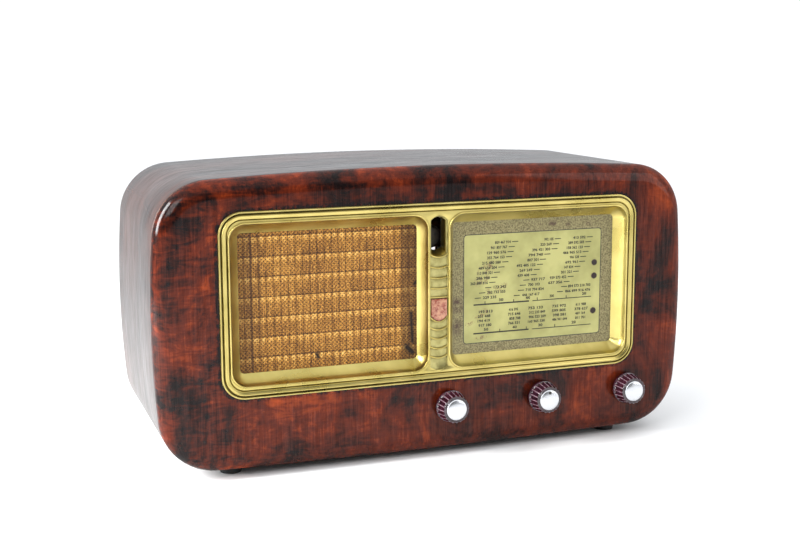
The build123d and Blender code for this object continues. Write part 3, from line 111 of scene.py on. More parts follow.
class Recipe:
    """One material's node tree while it is put together."""

    def __init__(self, name: str) -> None:
        """Start an empty material that reads the object's own coordinates.

        Args:
            name: The material's name.
        """
        self.material = bpy.data.materials.new(name)
        self.material.use_nodes = True
        self.tree = self.material.node_tree
        self.tree.nodes.clear()
        self.here = self.add("TexCoord", {}, take="Object")

    def add(self, kind: str, inputs: dict, take: int | str = 0, stops: Sequence[tuple[float, str]] = (),
            **settings: object) -> Socket:
        """Add a node, set it up and link it.

        Args:
            kind: The shader node's type.
            inputs: Values or sockets for its inputs, by name or number.
            take: The output wanted from it.
            stops: Places and sRGB colours of a colour ramp.
            **settings: The node's own properties.

        Returns:
            The output.
        """
        made = self.tree.nodes.new("ShaderNode" + kind)
        for key, value in settings.items():
            setattr(made, key, value)
        for index, (position, code) in enumerate(stops):
            elements = made.color_ramp.elements
            element = elements[index] if index < 2 else elements.new(position)
            element.position = position
            element.color = linear(code)
        for key, value in inputs.items():
            if isinstance(value, Socket):
                self.tree.links.new(value, made.inputs[key])
            else:
                made.inputs[key].default_value = value
        return made.outputs[take]

    def weighed(self, *parts: tuple[Socket, float], base: float = 0.0) -> Socket:
        """Sum several patterns by weight.

        Args:
            *parts: Pairs of a pattern and its weight.
            base: What the sum starts from.

        Returns:
            The sum.
        """
        total: Socket | float = base
        for pattern, weight in parts:
            total = self.add("Math", {0: pattern, 1: weight, 2: total}, operation="MULTIPLY_ADD")
        return total

    def near_strokes(self, strokes: Sequence[tuple[float, ...]]) -> Socket:
        """Give 1 near any of several strokes on the dial, fading to 0 around them.

        Args:
            strokes: Each stroke's ends as x and z in millimetres from the surround's middle, then how far
                around it the value stays 1, then where it reaches 0.

        Returns:
            The mask.
        """
        mask: Socket | float = 0.0
        for x1, z1, x2, z2, core, fade in strokes:
            start = Vector((x1 * MM, 0, SURROUND_Z + z1 * MM))
            along = Vector(((x2 - x1) * MM, 0, (z2 - z1) * MM))
            flat = self.add("VectorMath", {0: self.here, 1: (1, 0, 1)}, operation="MULTIPLY")
            offset = self.add("VectorMath", {0: flat, 1: tuple(start)}, operation="SUBTRACT")
            share = self.add("VectorMath", {0: offset, 1: tuple(along / along.length_squared)}, take=1,
                             operation="DOT_PRODUCT")
            held = self.add("Clamp", {0: share})
            foot = self.add("VectorMath", {0: tuple(along), "Scale": held}, operation="SCALE")
            reach = self.add("VectorMath", {0: offset, 1: foot}, take=1, operation="DISTANCE")
            near = self.add("MapRange", {0: reach, 1: core * MM, 2: fade * MM, 3: 1.0, 4: 0.0})
            mask = self.add("Math", {0: near, 1: mask}, operation="MAXIMUM")
        return mask

    def near_frame(self, node: str, radius: float, reach_mm: float) -> Socket:
        """Give 1 at the edge of a rounded rectangle in the front view, fading to 0 outside it.

        Args:
            node: The CAD node whose outline it is.
            radius: Its corner radius.
            reach_mm: Where the value reaches 0.

        Returns:
            The mask.
        """
        low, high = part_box(node)
        half = (high - low) / 2 - Vector((radius, 0, radius))
        offset = self.add("VectorMath", {0: self.here, 1: tuple(centre_of(node))}, operation="SUBTRACT")
        spread = self.add("VectorMath", {0: offset}, operation="ABSOLUTE")
        outside = self.add("VectorMath", {0: spread, 1: (half.x, 10.0, half.z)}, operation="SUBTRACT")
        clipped = self.add("VectorMath", {0: outside, 1: (0, 0, 0)}, operation="MAXIMUM")
        reach = self.add("VectorMath", {0: clipped}, take=1, operation="LENGTH")
        return self.add("MapRange", {0: reach, 1: radius, 2: radius + reach_mm * MM, 3: 1.0, 4: 0.0})

    def finish(self, **values: object) -> Material:
        """Put the surface shader on top and hand over the material.

        Args:
            **values: The shader's inputs by name, with underscores for spaces.

        Returns:
            The finished material.
        """
        surface = self.add("BsdfPrincipled", {key.replace("_", " "): value for key, value in values.items()})
        output = self.tree.nodes.new("ShaderNodeOutputMaterial")
        self.tree.links.new(surface, output.inputs["Surface"])
        return self.material


# Finishes


class GrainRun(Enum):
    """Which way a veneer's figure runs: the scale of its clouds, curls, pores and streaks along each axis."""

    UPRIGHT = ((1.1, 1.0, 0.9), (0.55, 1.0, 1.9), (1.0, 1.0, 0.035), (1.0, 1.0, 0.2))
    AROUND = ((0.4, 1.0, 0.4), (0.4, 2.2, 0.4), (0.03, 1.0, 0.03), (0.3, 1.6, 0.3))


@dataclass(frozen=True)
class VarnishedWalnut:
    """Figured walnut veneer, sliced and varnished: red-brown, nearly black clouds, fine pores, a deep gloss.

    Real pores are about 0.3 mm wide. They are drawn at 1.1 mm, as coarse as they need to be to show.
    """

    name: str
    grain: GrainRun
    light: str = "#963c15"
    middle: str = "#581e0c"
    dark: str = "#2a0f09"
    cloud: str = "#100808"
    cloud_mm: float = 64.0
    curl_mm: float = 17.0
    pore_mm: float = 1.1
    streak_mm: float = 9.9
    speck_mm: float = 3.0303
    pore_depth_mm: float = 0.06
    roughness: float = 0.4
    specular: float = 0.0
    coat: float = 0.46
    coat_roughness: float = 0.13
    coat_index: float = 1.45
    grime_mm: float = 0.0

    def build(self) -> Material:
        """Build the material: curls fade to the right; round the surround it is darker, from painted shade
        and grime.
        """
        r = Recipe(self.name)
        layers = ((self.cloud_mm, 5.0, 0.65, 0.6), (self.curl_mm, 4.0, 0.65, 1.2),
                  (self.pore_mm, 3.0, 0.7, 0.0), (self.streak_mm, 3.0, 0.6, 0.5))
        patterns = []
        for stretch, (size_mm, detail, rough, bend) in zip(self.grain.value, layers):
            run = r.add("Mapping", {0: r.here, "Scale": stretch, "Location": (size_mm, 0, size_mm)})
            patterns.append(r.add("TexNoise", {0: run, "Scale": 1000 / size_mm, "Detail": detail,
                                               "Roughness": rough, "Distortion": bend}))
        clouds, curls, pores, streaks = patterns
        across = r.add("SeparateXYZ", {0: r.here}, take=0)
        curled = r.add("MapRange", {0: across, 1: -0.22, 2: 0.02, 3: 0.38, 4: 0.12})
        curl = r.add("Math", {0: r.weighed((curls, 1.0), base=-0.5), 1: curled}, operation="MULTIPLY")
        figure = r.weighed((clouds, 0.74), (curl, 1.0), (pores, 0.18), (streaks, 0.16), base=-0.025)
        # A broken dark band round the surround: painted shade where the wood meets it, and grime
        if self.grime_mm:
            edge_shade_and_grime = r.near_frame("surround", SURROUND_CORNER, self.grime_mm)
            specks = r.add("TexNoise", {0: r.here, "Scale": 1000 / self.speck_mm, "Detail": 3.0,
                                        "Roughness": 0.75})
            broken = r.add("MapRange", {0: specks, 1: 0.42, 2: 0.6, 3: 0.02, 4: 0.3})
            shaded_and_soiled = r.add("Math", {0: edge_shade_and_grime, 1: broken}, operation="MULTIPLY")
            figure = r.weighed((shaded_and_soiled, -1.0), (figure, 1.0))
        colour = r.add("ValToRGB", {0: figure}, stops=((0.40, self.cloud), (0.46, self.dark),
                                                       (0.57, self.middle), (0.72, self.light)))
        pits = r.add("Bump", {"Height": pores, "Distance": self.pore_depth_mm * MM, "Strength": 0.35})
        varnish = r.add("MapRange", {0: pores, 1: 0.35, 2: 0.65, 3: self.coat * 0.6, 4: self.coat * 1.25})
        return r.finish(Base_Color=colour, Roughness=self.roughness, Normal=pits, Coat_Weight=varnish,
                        Specular_IOR_Level=self.specular, Coat_Roughness=self.coat_roughness,
                        Coat_IOR=self.coat_index)


@dataclass(frozen=True)
class GoldLacquer:
    """Gold lacquer sprayed on pressed metal: satin, lemon in the light, green-brown in its folds from painted
    shade and dirt.
    """

    name: str
    light: str = "#c8b872"
    deep: str = "#b0a05c"
    fold: str = "#3f2e0d"
    roughness: float = 0.29
    metallic: float = 1.0
    mottle_mm: float = 34.0
    spray_mm: float = 0.7
    spray_depth_mm: float = 0.02
    fold_mm: float = 2.6

    def build(self) -> Material:
        """Build the material, darkened in its folds by painted shade that also stands for settled dirt."""
        r = Recipe(self.name)
        cloud = r.add("TexNoise", {0: r.here, "Scale": 1000 / self.mottle_mm, "Detail": 3.0})
        spray = r.add("TexNoise", {0: r.here, "Scale": 1000 / self.spray_mm, "Detail": 1.0})
        paint = r.add("ValToRGB", {0: cloud}, stops=((0.35, self.deep), (0.62, self.light)))
        # Occlusion darkens the folds: painted shade, and dirt settled there
        open_share = r.add("AmbientOcclusion", {"Distance": self.fold_mm * MM}, take="AO", samples=16)
        shade_and_dirt_share = r.add("MapRange", {0: open_share, 1: 0.30, 2: 0.78, 3: 0.95, 4: 0.0})
        colour = r.add("Mix", {0: shade_and_dirt_share, 6: paint, 7: linear(self.fold)}, take=2, data_type="RGBA")
        rough = r.add("MapRange", {0: cloud, 1: 0.3, 2: 0.7, 3: self.roughness - 0.04,
                                   4: self.roughness + 0.06})
        grain = r.add("Bump", {"Height": spray, "Distance": self.spray_depth_mm * MM, "Strength": 0.4})
        return r.finish(Base_Color=colour, Roughness=rough, Metallic=self.metallic, Normal=grain)


@dataclass(frozen=True)
class PlainSurface:
    """A moulded, painted, plated or pressed surface with its own small mottle and grain.

    Moulding grain and mill marks are finer than a pixel. They are drawn at half a millimetre or more to show.
    """

    name: str
    light: str
    deep: str
    roughness: float = 0.5
    metallic: float = 0.0
    mottle_mm: float = 9.0
    grain_mm: float = 0.8
    grain_depth_mm: float = 0.03
    coat: float = 0.0
    coat_roughness: float = 0.08
    swing: float = 0.06
    stretch: Place = (1.0, 1.0, 1.0)

    def build(self) -> Material:
        """Build the material."""
        r = Recipe(self.name)
        place = r.add("Mapping", {0: r.here, "Scale": self.stretch})
        cloud = r.add("TexNoise", {0: place, "Scale": 1000 / self.mottle_mm, "Detail": 4.0, "Roughness": 0.6})
        grain = r.add("TexNoise", {0: place, "Scale": 1000 / self.grain_mm, "Detail": 2.0, "Roughness": 0.6})
        colour = r.add("ValToRGB", {0: cloud}, stops=((0.36, self.deep), (0.64, self.light)))
        rough = r.add("MapRange", {0: cloud, 1: 0.3, 2: 0.7, 3: self.roughness - self.swing,
                                   4: self.roughness + self.swing})
        texture = r.add("Bump", {"Height": grain, "Distance": self.grain_depth_mm * MM, "Strength": 0.6})
        return r.finish(Base_Color=colour, Roughness=rough, Metallic=self.metallic, Coat_Weight=self.coat,
                        Coat_Roughness=self.coat_roughness, Normal=texture)


@dataclass(frozen=True)
class BasketCloth:
    """Speaker cloth of thick tan and gold yarns in a basket weave, with ribs across and ends browned by
    painted shade.

    tears holds strokes as Recipe.near_strokes takes them.
    """

    name: str
    width_mm: float
    height_mm: float
    hidden_mm: float = 4.5
    pale: str = "#efc26f"
    gold: str = "#c68d3b"
    tan: str = "#87571e"
    brown: str = "#3c200b"
    end: str = "#3a200e"
    shade: str = "#190c05"
    yarn_mm: float = 1.9
    yarn_lift_mm: float = 0.7
    knot_mm: float = 6.9
    band_mm: float = 18.6
    fleck_mm: float = 1.25
    patch_mm: float = 30.303
    slub_mm: float = 1.6667
    fuzz_mm: float = 0.33333
    fuzz_lift_mm: float = 0.15
    tears: Steps = (
        (-117.5, -52.5, -116.0, -55.5, 0.6, 2.4), (-28.0, -53.0, -23.0, -58.0, 1.2, 4.5),
        (-20.5, 8.0, -18.5, 10.0, 0.6, 2.5), (-24.0, -20.0, -22.5, -48.0, 0.4, 3.0))

    def build(self) -> Material:
        """Build the material, laid out on the cloth's own UV map in millimetres.

        The tone comes from flecks, slubs, bright knots in rows and dark furrows. Painted shade darkens the
        left end from its edge inwards and browns the right end; the worn spots and the gaps between yarns are
        darkest.

        Returns:
            The material.
        """
        r = Recipe(self.name)
        uv = r.add("TexCoord", {}, take="UV")
        flat = r.add("Mapping", {0: uv, "Scale": (self.width_mm, self.height_mm, 1.0)})
        across = r.add("SeparateXYZ", {0: flat}, take=0)
        up = r.add("SeparateXYZ", {0: flat}, take=1)
        waves = []
        for place, pitch in ((across, self.yarn_mm), (up, self.yarn_mm), (across, self.knot_mm)):
            waves.append(r.add("Math", {0: r.weighed((place, math.pi / pitch))}, operation="SINE"))
        warp, weft, column = waves
        weave = r.add("Math", {0: warp, 1: weft}, operation="MULTIPLY")
        height = r.weighed((weave, 0.5), base=0.5)
        knots = r.add("Math", {0: column, 1: column}, operation="MULTIPLY")
        fleck = r.add("TexNoise", {0: flat, "Scale": 1 / self.fleck_mm, "Detail": 3.0,
                                    "Roughness": 0.85})
        band = r.add("Math", {0: r.weighed((up, 1 / self.band_mm), (fleck, 0.12), base=0.14)},
                     operation="FRACT")
        patch = r.add("TexNoise", {0: flat, "Scale": 1 / self.patch_mm, "Detail": 3.0, "Roughness": 0.6})
        drawn = r.add("Mapping", {0: flat, "Scale": (1.0, 0.10, 1.0)})
        slub = r.add("TexNoise", {0: drawn, "Scale": 1 / self.slub_mm, "Detail": 2.0, "Roughness": 0.6})
        row = r.add("MapRange", {0: band, 1: 0.66, 2: 0.90, 3: 0.0, 4: 1.0})
        bright = r.add("Math", {0: r.weighed((knots, 0.09), base=0.04), 1: row}, operation="MULTIPLY")
        line = r.add("MapRange", {0: band, 1: 0.02, 2: 0.10, 3: 0.11, 4: 0.0})
        furrow = r.add("MapRange", {0: knots, 1: 0.0, 2: 0.22, 3: 0.06, 4: 0.0})
        tone = r.weighed((fleck, 0.85), (patch, 0.16), (slub, 0.28), (bright, 1.0), (line, -1.0),
                         (furrow, -1.0), base=-0.15)
        yarn = r.add("ValToRGB", {0: tone}, stops=((0.36, self.brown), (0.46, self.tan), (0.57, self.gold),
                                                   (0.68, self.pale)))
        start = self.hidden_mm
        stop = self.width_mm - self.hidden_mm
        # Painted shade of the window's walls on both ends of the cloth
        ends: Socket | float = 0.0
        for from_mm, to_mm, from_value, to_value in (
                (start + 7.6, start + 8.6, 0.5, 0.85), (start + 9.2, start + 10.2, 0.0, -0.6),
                (stop - 15.0, stop - 10.0, 0.0, 0.6)):
            step = r.add("MapRange", {0: across, 1: from_mm, 2: to_mm, 3: from_value, 4: to_value})
            ends = r.add("Math", {0: step, 1: ends})
        fade = r.add("MapRange", {0: across, 1: start + 18.0, 2: start + 20.0, 3: 0.0, 4: -0.25})
        ends = r.add("Clamp", {0: r.weighed((fade, 1.0), base=ends)})
        end_shaded = r.add("Mix", {0: ends, 6: yarn, 7: linear(self.end)}, take=2, data_type="RGBA")
        worn = r.add("Mix", {0: r.near_strokes(self.tears), 6: end_shaded, 7: linear(self.shade)}, take=2,
                     data_type="RGBA")
        deep = r.add("MapRange", {0: height, 1: 0.05, 2: 0.45, 3: 0.85, 4: 0.0})
        gap = r.add("Mix", {0: deep, 6: worn, 7: linear(self.shade)}, take=2, data_type="RGBA")
        fuzz = r.add("TexNoise", {0: flat, "Scale": 1 / self.fuzz_mm, "Detail": 2.0, "Roughness": 0.7})
        lift = r.add("Bump", {"Height": height, "Distance": self.yarn_lift_mm * MM, "Strength": 1.0})
        hairy = r.add("Bump", {"Height": fuzz, "Distance": self.fuzz_lift_mm * MM, "Strength": 0.5,
                               "Normal": lift})
        return r.finish(Base_Color=gap, Roughness=0.86, Normal=hairy, Sheen_Weight=0.05, Sheen_Roughness=0.5)


@dataclass(frozen=True)
class MottledGround:
    """The painted ground round the dial print: dull silver gold, gone brown in specks and stains."""

    name: str
    light: str = "#8d8356"
    deep: str = "#5e5430"
    stain: str = "#43291a"
    speck_mm: float = 1.3
    blotch_mm: float = 5.88235
    stains: Steps = (
        (22.5, -14.0, 23.5, -17.0, 2.0, 9.0), (23.5, -36.0, 22.5, -40.0, 1.0, 8.0),
        (122.0, 58.5, 126.0, 59.0, 1.2, 3.4), (140.0, 56.5, 142.0, 56.5, 0.2, 2.4),
        (163.0, 57.0, 165.0, 57.0, 0.2, 3.0), (111.0, 58.0, 113.0, 58.0, 0.0, 1.8))

    def build(self) -> Material:
        """Build the material."""
        r = Recipe(self.name)
        speck = r.add("TexNoise", {0: r.here, "Scale": 1000 / self.speck_mm, "Detail": 2.0})
        blotch = r.add("TexNoise", {0: r.here, "Scale": 1000 / self.blotch_mm, "Detail": 4.0,
                                    "Roughness": 0.75})
        ground = r.add("ValToRGB", {0: speck}, stops=((0.38, self.deep), (0.60, self.light)))
        broken = r.add("MapRange", {0: blotch, 1: 0.40, 2: 0.56, 3: 0.1, 4: 0.95})
        stained = r.add("Math", {0: r.near_strokes(self.stains), 1: broken}, operation="MULTIPLY")
        colour = r.add("Mix", {0: stained, 6: ground, 7: linear(self.stain)}, take=2, data_type="RGBA")
        grain = r.add("Bump", {"Height": speck, "Distance": 0.03 * MM, "Strength": 0.5})
        return r.finish(Base_Color=colour, Roughness=0.42, Metallic=0.25, Normal=grain, Coat_Weight=0.35,
                        Coat_Roughness=0.12)


@dataclass(frozen=True)
class DialPaint:
    """The printed field of the dial: yellow-green paint behind glass, flaked and rusted in a few places."""

    name: str
    light: str = "#b0ac66"
    deep: str = "#94914e"
    flake: str = "#6a4426"
    cloud_mm: float = 33.3333
    speck_mm: float = 3.22581
    flakes: Steps = (
        (33.0, -37.0, 42.0, -30.5, 0.6, 3.4), (42.0, -30.5, 53.0, -24.5, 0.6, 4.2),
        (45.0, -50.5, 52.0, -50.0, 0.8, 3.2), (50.0, 14.0, 58.0, 20.0, 0.6, 7.0),
        (46.0, 5.0, 52.0, 8.0, 0.6, 6.0), (56.0, -6.0, 72.0, 0.0, 0.2, 5.0))

    def build(self) -> Material:
        """Build the material."""
        r = Recipe(self.name)
        cloud = r.add("TexNoise", {0: r.here, "Scale": 1000 / self.cloud_mm, "Detail": 3.0, "Roughness": 0.6})
        speck = r.add("TexNoise", {0: r.here, "Scale": 1000 / self.speck_mm, "Detail": 4.0,
                                   "Roughness": 0.75})
        colour = r.add("ValToRGB", {0: cloud}, stops=((0.35, self.deep), (0.66, self.light)))
        broken = r.add("MapRange", {0: speck, 1: 0.50, 2: 0.60, 3: 0.0, 4: 0.9})
        flaked = r.add("Math", {0: r.near_strokes(self.flakes), 1: broken}, operation="MULTIPLY")
        worn = r.add("Mix", {0: flaked, 6: colour, 7: linear(self.flake)}, take=2, data_type="RGBA")
        grain = r.add("Bump", {"Height": speck, "Distance": 0.02 * MM, "Strength": 0.2})
        return r.finish(Base_Color=worn, Roughness=0.38, Coat_Weight=0.5, Coat_Roughness=0.08, Normal=grain)


@dataclass(frozen=True)
class SpunAluminium:
    """Aluminium spun in rings and polished: fine circles round each cap's middle."""

    name: str
    light: str = "#e3e4e7"
    deep: str = "#b3b5ba"
    roughness: float = 0.26
    rings_across: float = 45.0

    def build(self) -> Material:
        """Build the material, with rings read from the cap's own UV map."""
        r = Recipe(self.name)
        uv = r.add("TexCoord", {}, take="UV")
        outwards = r.add("Mapping", {0: uv, "Scale": (1, 0, 0)})
        rings = r.add("TexNoise", {0: outwards, "Scale": self.rings_across, "Detail": 3.0, "Roughness": 0.7})
        colour = r.add("ValToRGB", {0: rings}, stops=((0.3, self.deep), (0.7, self.light)))
        lathe = r.add("Bump", {"Height": rings, "Distance": 0.03 * MM, "Strength": 0.5})
        return r.finish(Base_Color=colour, Metallic=1.0, Roughness=self.roughness, Normal=lathe)


@dataclass(frozen=True)
class BlownGlass:
    """Thin clear glass, faintly smoky where the getter has silvered it."""

    name: str
    tint: str = "#d7dedb"
    smoke: str = "#6f7474"
    cloud_mm: float = 16.6667

    def build(self) -> Material:
        """Build the material."""
        r = Recipe(self.name)
        cloud = r.add("TexNoise", {0: r.here, "Scale": 1000 / self.cloud_mm})
        colour = r.add("ValToRGB", {0: cloud}, stops=((0.4, self.smoke), (0.62, self.tint)))
        return r.finish(Base_Color=colour, Roughness=0.05, Transmission_Weight=0.85, IOR=1.5)


class Finishes:
    """All finishes, built once."""

    def __init__(self) -> None:
        """Build every finish."""
        low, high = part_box("speaker_cloth")
        self.front_veneer = VarnishedWalnut("walnut_front", GrainRun.UPRIGHT, grime_mm=4.0).build()
        self.side_veneer = VarnishedWalnut("walnut_wrap", GrainRun.AROUND, light="#4a2a20", middle="#301a14",
                                           dark="#1f110d", roughness=0.5, coat=0.55,
                                           coat_roughness=0.08).build()
        # Cut edge of the plywood: a pale, warm, matt line
        self.edge_wood = PlainSurface("veneer_edge", "#c98d55", "#9a5f31", 0.5, grain_mm=0.5).build()
        self.gold = GoldLacquer("gold_lacquer").build()
        # The same lacquer where no cloth reaches it: greener, duller and blotched
        self.dull_gold = GoldLacquer("dull_gold_lacquer", "#b5ac70", "#8f8650", roughness=0.36, metallic=0.7,
                                     mottle_mm=8.0).build()
        self.cloth = BasketCloth("basket_cloth", (high.x - low.x) / MM, (high.z - low.z) / MM).build()
        self.ground = MottledGround("dial_ground").build()
        self.dial = DialPaint("dial_paint").build()
        # Printing ink on glass: black gone brown, flat
        self.ink = PlainSurface("dial_ink", "#1e1a0e", "#120f07", 0.5).build()
        # Printed line with a bead of varnish on it: black with a small gloss
        self.line = PlainSurface("dial_line", "#1c1b12", "#121109", 0.45, coat=0.5).build()
        # Painted shade for the inside of a punched hole: nearly black red-brown
        self.void = PlainSurface("painted_hole_shade", "#2a0f08", "#0d0403", 0.5, mottle_mm=2.0).build()
        # Moulded and buffed phenolic: deep plum with small, sharp highlights
        self.plum = PlainSurface("plum_phenolic", "#391828", "#210c16", 0.2, coat=1.0,
                                 grain_depth_mm=0.01).build()
        # A painted highlight on the moulding's ridges: paler and duller than the plum
        self.worn = PlainSurface("painted_ridge_highlight", "#9c828c", "#5e404c", 0.3, mottle_mm=3.0, coat=0.6).build()
        self.spun = SpunAluminium("spun_aluminium").build()
        # Moulded rubber: matt black that shows no highlight
        self.rubber = PlainSurface("black_rubber", "#1c1c1c", "#121212", 0.62).build()
        # Fired enamel, rubbed through: dusty pink over rust red, half glossy
        self.enamel = PlainSurface("worn_enamel", "#bf8c6c", "#8c4636", 0.3, mottle_mm=3.0, coat=0.3).build()
        # Pressed fibre board: brown, fibrous and dull
        self.board = PlainSurface("fibre_board", "#7c5a3a", "#5e4028", 0.8, mottle_mm=6.0, grain_mm=0.7,
                                  grain_depth_mm=0.12).build()
        # Sawn pine: pale yellow-brown, streaked from side to side
        self.sawn = PlainSurface("sawn_pine", "#c39a68", "#9c7446", 0.75, mottle_mm=12.0,
                                 stretch=(0.12, 1.0, 1.0)).build()
        # Cadmium-plated sheet steel: a soft, warm grey sheen
        self.plate = PlainSurface("cadmium_plate", "#a8a598", "#8c897c", 0.38, 0.9,
                                  grain_depth_mm=0.01).build()
        # Rolled aluminium: bright, with faint upright mill marks
        self.alloy = PlainSurface("rolled_aluminium", "#d0d1d2", "#b3b5b7", 0.35, 1.0, grain_mm=0.6,
                                  grain_depth_mm=0.01, stretch=(1.0, 1.0, 0.1)).build()
        # Turned brass: warm yellow with clear reflections
        self.brass = PlainSurface("turned_brass", "#d3b16a", "#ab8640", 0.3, 1.0, grain_depth_mm=0.01).build()
        # Blackened iron: dark grey, half dull
        self.iron = PlainSurface("black_iron", "#2a2a2b", "#19191a", 0.5, 0.2).build()
        # Waxed paper: amber, dull and slightly rough
        self.paper = PlainSurface("waxed_paper", "#b08a52", "#8a6637", 0.7, grain_depth_mm=0.06).build()
        # Pressed pulp: dark grey-brown, felt-like, without gloss
        self.cone = PlainSurface("cone_paper", "#3d362f", "#29241f", 0.9, grain_depth_mm=0.08).build()
        # Moulded phenolic: dark brown with an even gloss
        self.phenolic = PlainSurface("brown_phenolic", "#3b1f12", "#26130b", 0.3, coat=0.3).build()
        # Flat paint: soft, chalky white
        self.white = PlainSurface("white_paint", "#e6e3d6", "#d2cebf", 0.6).build()
        # Enamel paint: a clear red with a little gloss
        self.red = PlainSurface("red_paint", "#b3281a", "#8f1c12", 0.4).build()
        self.glass = BlownGlass("blown_glass").build()
        # Glass silvered from inside: deep brown, with a faint mirror
        self.dark_glass = PlainSurface("silvered_glass", "#2a1f1a", "#0c0b0a", 0.35, mottle_mm=2.0,
                                       coat=0.15).build()

    def by_slot(self) -> dict[str, Material]:
        """The finish of each slot of the record."""
        return {"veneer": self.front_veneer, "plain_wood": self.sawn, "gold_paint": self.gold,
                "badge_enamel": self.enamel, "speaker_cloth": self.cloth, "printed_glass": self.ground,
                "clear_glass": self.glass, "black_rubber": self.rubber, "plated_steel": self.plate,
                "white_paint": self.white, "pointer_paint": self.red, "knob_plastic": self.plum,
                "aluminium": self.alloy, "brass": self.brass, "black_iron": self.iron,
                "winding_paper": self.paper, "cone_paper": self.cone, "bakelite": self.phenolic,
                "fibre_board": self.board}

    def dress_nodes(self) -> None:
        """Give every CAD node the finish of its slot."""
        slots = {item["node"]: item["material_slot"] for item in frame["record"]["subparts"]}
        finishes = self.by_slot()
        special = {"cabinet_shell": self.side_veneer, "eye_tube": self.dark_glass}
        for name, node in frame["nodes"].items():
            node.data.materials.clear()
            node.data.materials.append(special.get(name, finishes[slots[name]]))


# Drawings in the front view


@dataclass(frozen=True)
class Station:
    """One point of an outline with its outward direction."""

    point: Vector
    normal: Vector


@dataclass(frozen=True)
class Outline:
    """A closed outline in the front view that can be drawn in by any inset."""

    stations: tuple[Station, ...]

    def ring(self, inset: float, depth: float) -> Ring:
        """Draw the outline at an inset and a depth.

        Args:
            inset: How far inwards.
            depth: How far behind the front of the wood.

        Returns:
            The ring's points.
        """
        flat = [station.point - station.normal * inset for station in self.stations]
        return [spot(point.x, depth, point.y) for point in flat]


def arc_stations(centre: Vector, radius: float, start: float, end: float, count: int) -> list[Station]:
    """Stations along an arc, its end left to the next piece.

    Args:
        centre: The arc's centre in the front view.
        radius: Its radius.
        start: Its first angle in radians.
        end: Its last angle, reached counter-clockwise.
        count: How many stations to give.

    Returns:
        The stations.
    """
    sweep = (end - start) % math.tau or math.tau
    stations = []
    for index in range(count):
        angle = start + sweep * index / count
        normal = Vector((math.cos(angle), math.sin(angle)))
        stations.append(Station(centre + normal * radius, normal))
    return stations


def rounded_rectangle(centre: Vector, width: float, height: float, radius: float, corner_count: int = 12,
                      side_count: int = 10) -> Outline:
    """A rounded rectangle in the front view.

    Args:
        centre: Its centre.
        width: Its width.
        height: Its height.
        radius: Its corner radius.
        corner_count: Stations in each corner.
        side_count: Stations along each straight side.

    Returns:
        The outline.
    """
    stations = []
    for quarter in range(4):
        start = quarter * math.pi / 2
        sign_x = 1 if quarter in (0, 3) else -1
        sign_z = 1 if quarter in (0, 1) else -1
        corner = centre + Vector((sign_x * (width / 2 - radius), sign_z * (height / 2 - radius)))
        stations += arc_stations(corner, radius, start, start + math.pi / 2, corner_count)
        normal = Vector((math.cos(start + math.pi / 2), math.sin(start + math.pi / 2)))
        along = Vector((-normal.y, normal.x))
        straight = (width if quarter % 2 == 0 else height) - 2 * radius
        for index in range(side_count):
            point = corner + normal * radius + along * straight * index / side_count
            stations.append(Station(point, normal))
    return Outline(tuple(stations))


def circle_outline(x: float, z: float, radius: float, count: int = 48) -> Outline:
    """A circle in the front view."""
    return Outline(tuple(arc_stations(Vector((x, z)), radius, 0.0, 0.0, count)))


def far_meeting(first: Vector, first_radius: float, second: Vector, second_radius: float,
                way: Vector) -> Vector:
    """Where two circles meet, on the side that a direction points to.

    Args:
        first: The first circle's centre.
        first_radius: Its radius.
        second: The second circle's centre.
        second_radius: Its radius.
        way: The direction.

    Returns:
        The meeting point.
    """
    between = second - first
    distance = between.length
    along = (first_radius ** 2 - second_radius ** 2 + distance ** 2) / (2 * distance)
    unit = between / distance
    side = Vector((-unit.y, unit.x)) * math.sqrt(first_radius ** 2 - along ** 2)
    points = (first + unit * along + side, first + unit * along - side)
    return max(points, key=lambda point: point.dot(way))


def angle_of(direction: Vector) -> float:
    """The angle of a direction in the front view."""
    return math.atan2(direction.y, direction.x)


# Mesh work


def new_mesh() -> Mesh:
    """A mesh whose vertices carry the number of their station."""
    mesh = bmesh.new()
    mesh.verts.layers.int.new("station")
    return mesh


def loft(mesh: Mesh, rings: Sequence[Ring], slot: int = 0,
         closed: bool = False) -> tuple[Edges, Edges]:
    """Extrude a closed ring of points through further rings.

    Args:
        mesh: The mesh that takes the strip.
        rings: The rings, all with as many points.
        slot: The material slot of the new faces.
        closed: Whether the last ring is joined to the first.

    Returns:
        The edges of the first and of the last ring.
    """
    layer = mesh.verts.layers.int["station"]
    made = bmesh.ops.create_circle(mesh, segments=len(rings[0]), radius=1.0)["verts"]
    ordered = sorted(made, key=lambda vert: math.atan2(vert.co.y, vert.co.x) % math.tau)
    first = list({edge for vert in ordered for edge in vert.link_edges})
    for index, vert in enumerate(ordered):
        vert[layer] = index
        vert.co = rings[0][index]
    edges = first
    for ring in rings[1:]:
        grown = bmesh.ops.extrude_edge_only(mesh, edges=edges)["geom"]
        verts = {item for item in grown if isinstance(item, bmesh.types.BMVert)}
        edges = [item for item in grown if isinstance(item, bmesh.types.BMEdge)
                 and item.verts[0] in verts and item.verts[1] in verts]
        for vert in verts:
            vert.co = ring[vert[layer]]
        for edge in edges:
            for face in edge.link_faces:
                face.material_index = slot
    if closed:
        for face in bmesh.ops.bridge_loops(mesh, edges=first + edges)["faces"]:
            face.material_index = slot
    return first, edges


def fill(mesh: Mesh, *loops: Edges, slot: int = 0) -> None:
    """Fill a flat shape between an outer loop and any holes.

    Args:
        mesh: The mesh.
        *loops: The loops' edges.
        slot: The material slot of the new faces.
    """
    edges = [edge for loop in loops for edge in loop]
    made = bmesh.ops.triangle_fill(mesh, edges=edges, use_beauty=True, use_dissolve=False, normal=(0, -1, 0))
    for face in made["geom"]:
        if isinstance(face, bmesh.types.BMFace):
            face.material_index = slot


def cap_ends(mesh: Mesh, *loops: Edges) -> None:
    """Close each loop with one face."""
    for loop in loops:
        bmesh.ops.contextual_create(mesh, geom=loop)


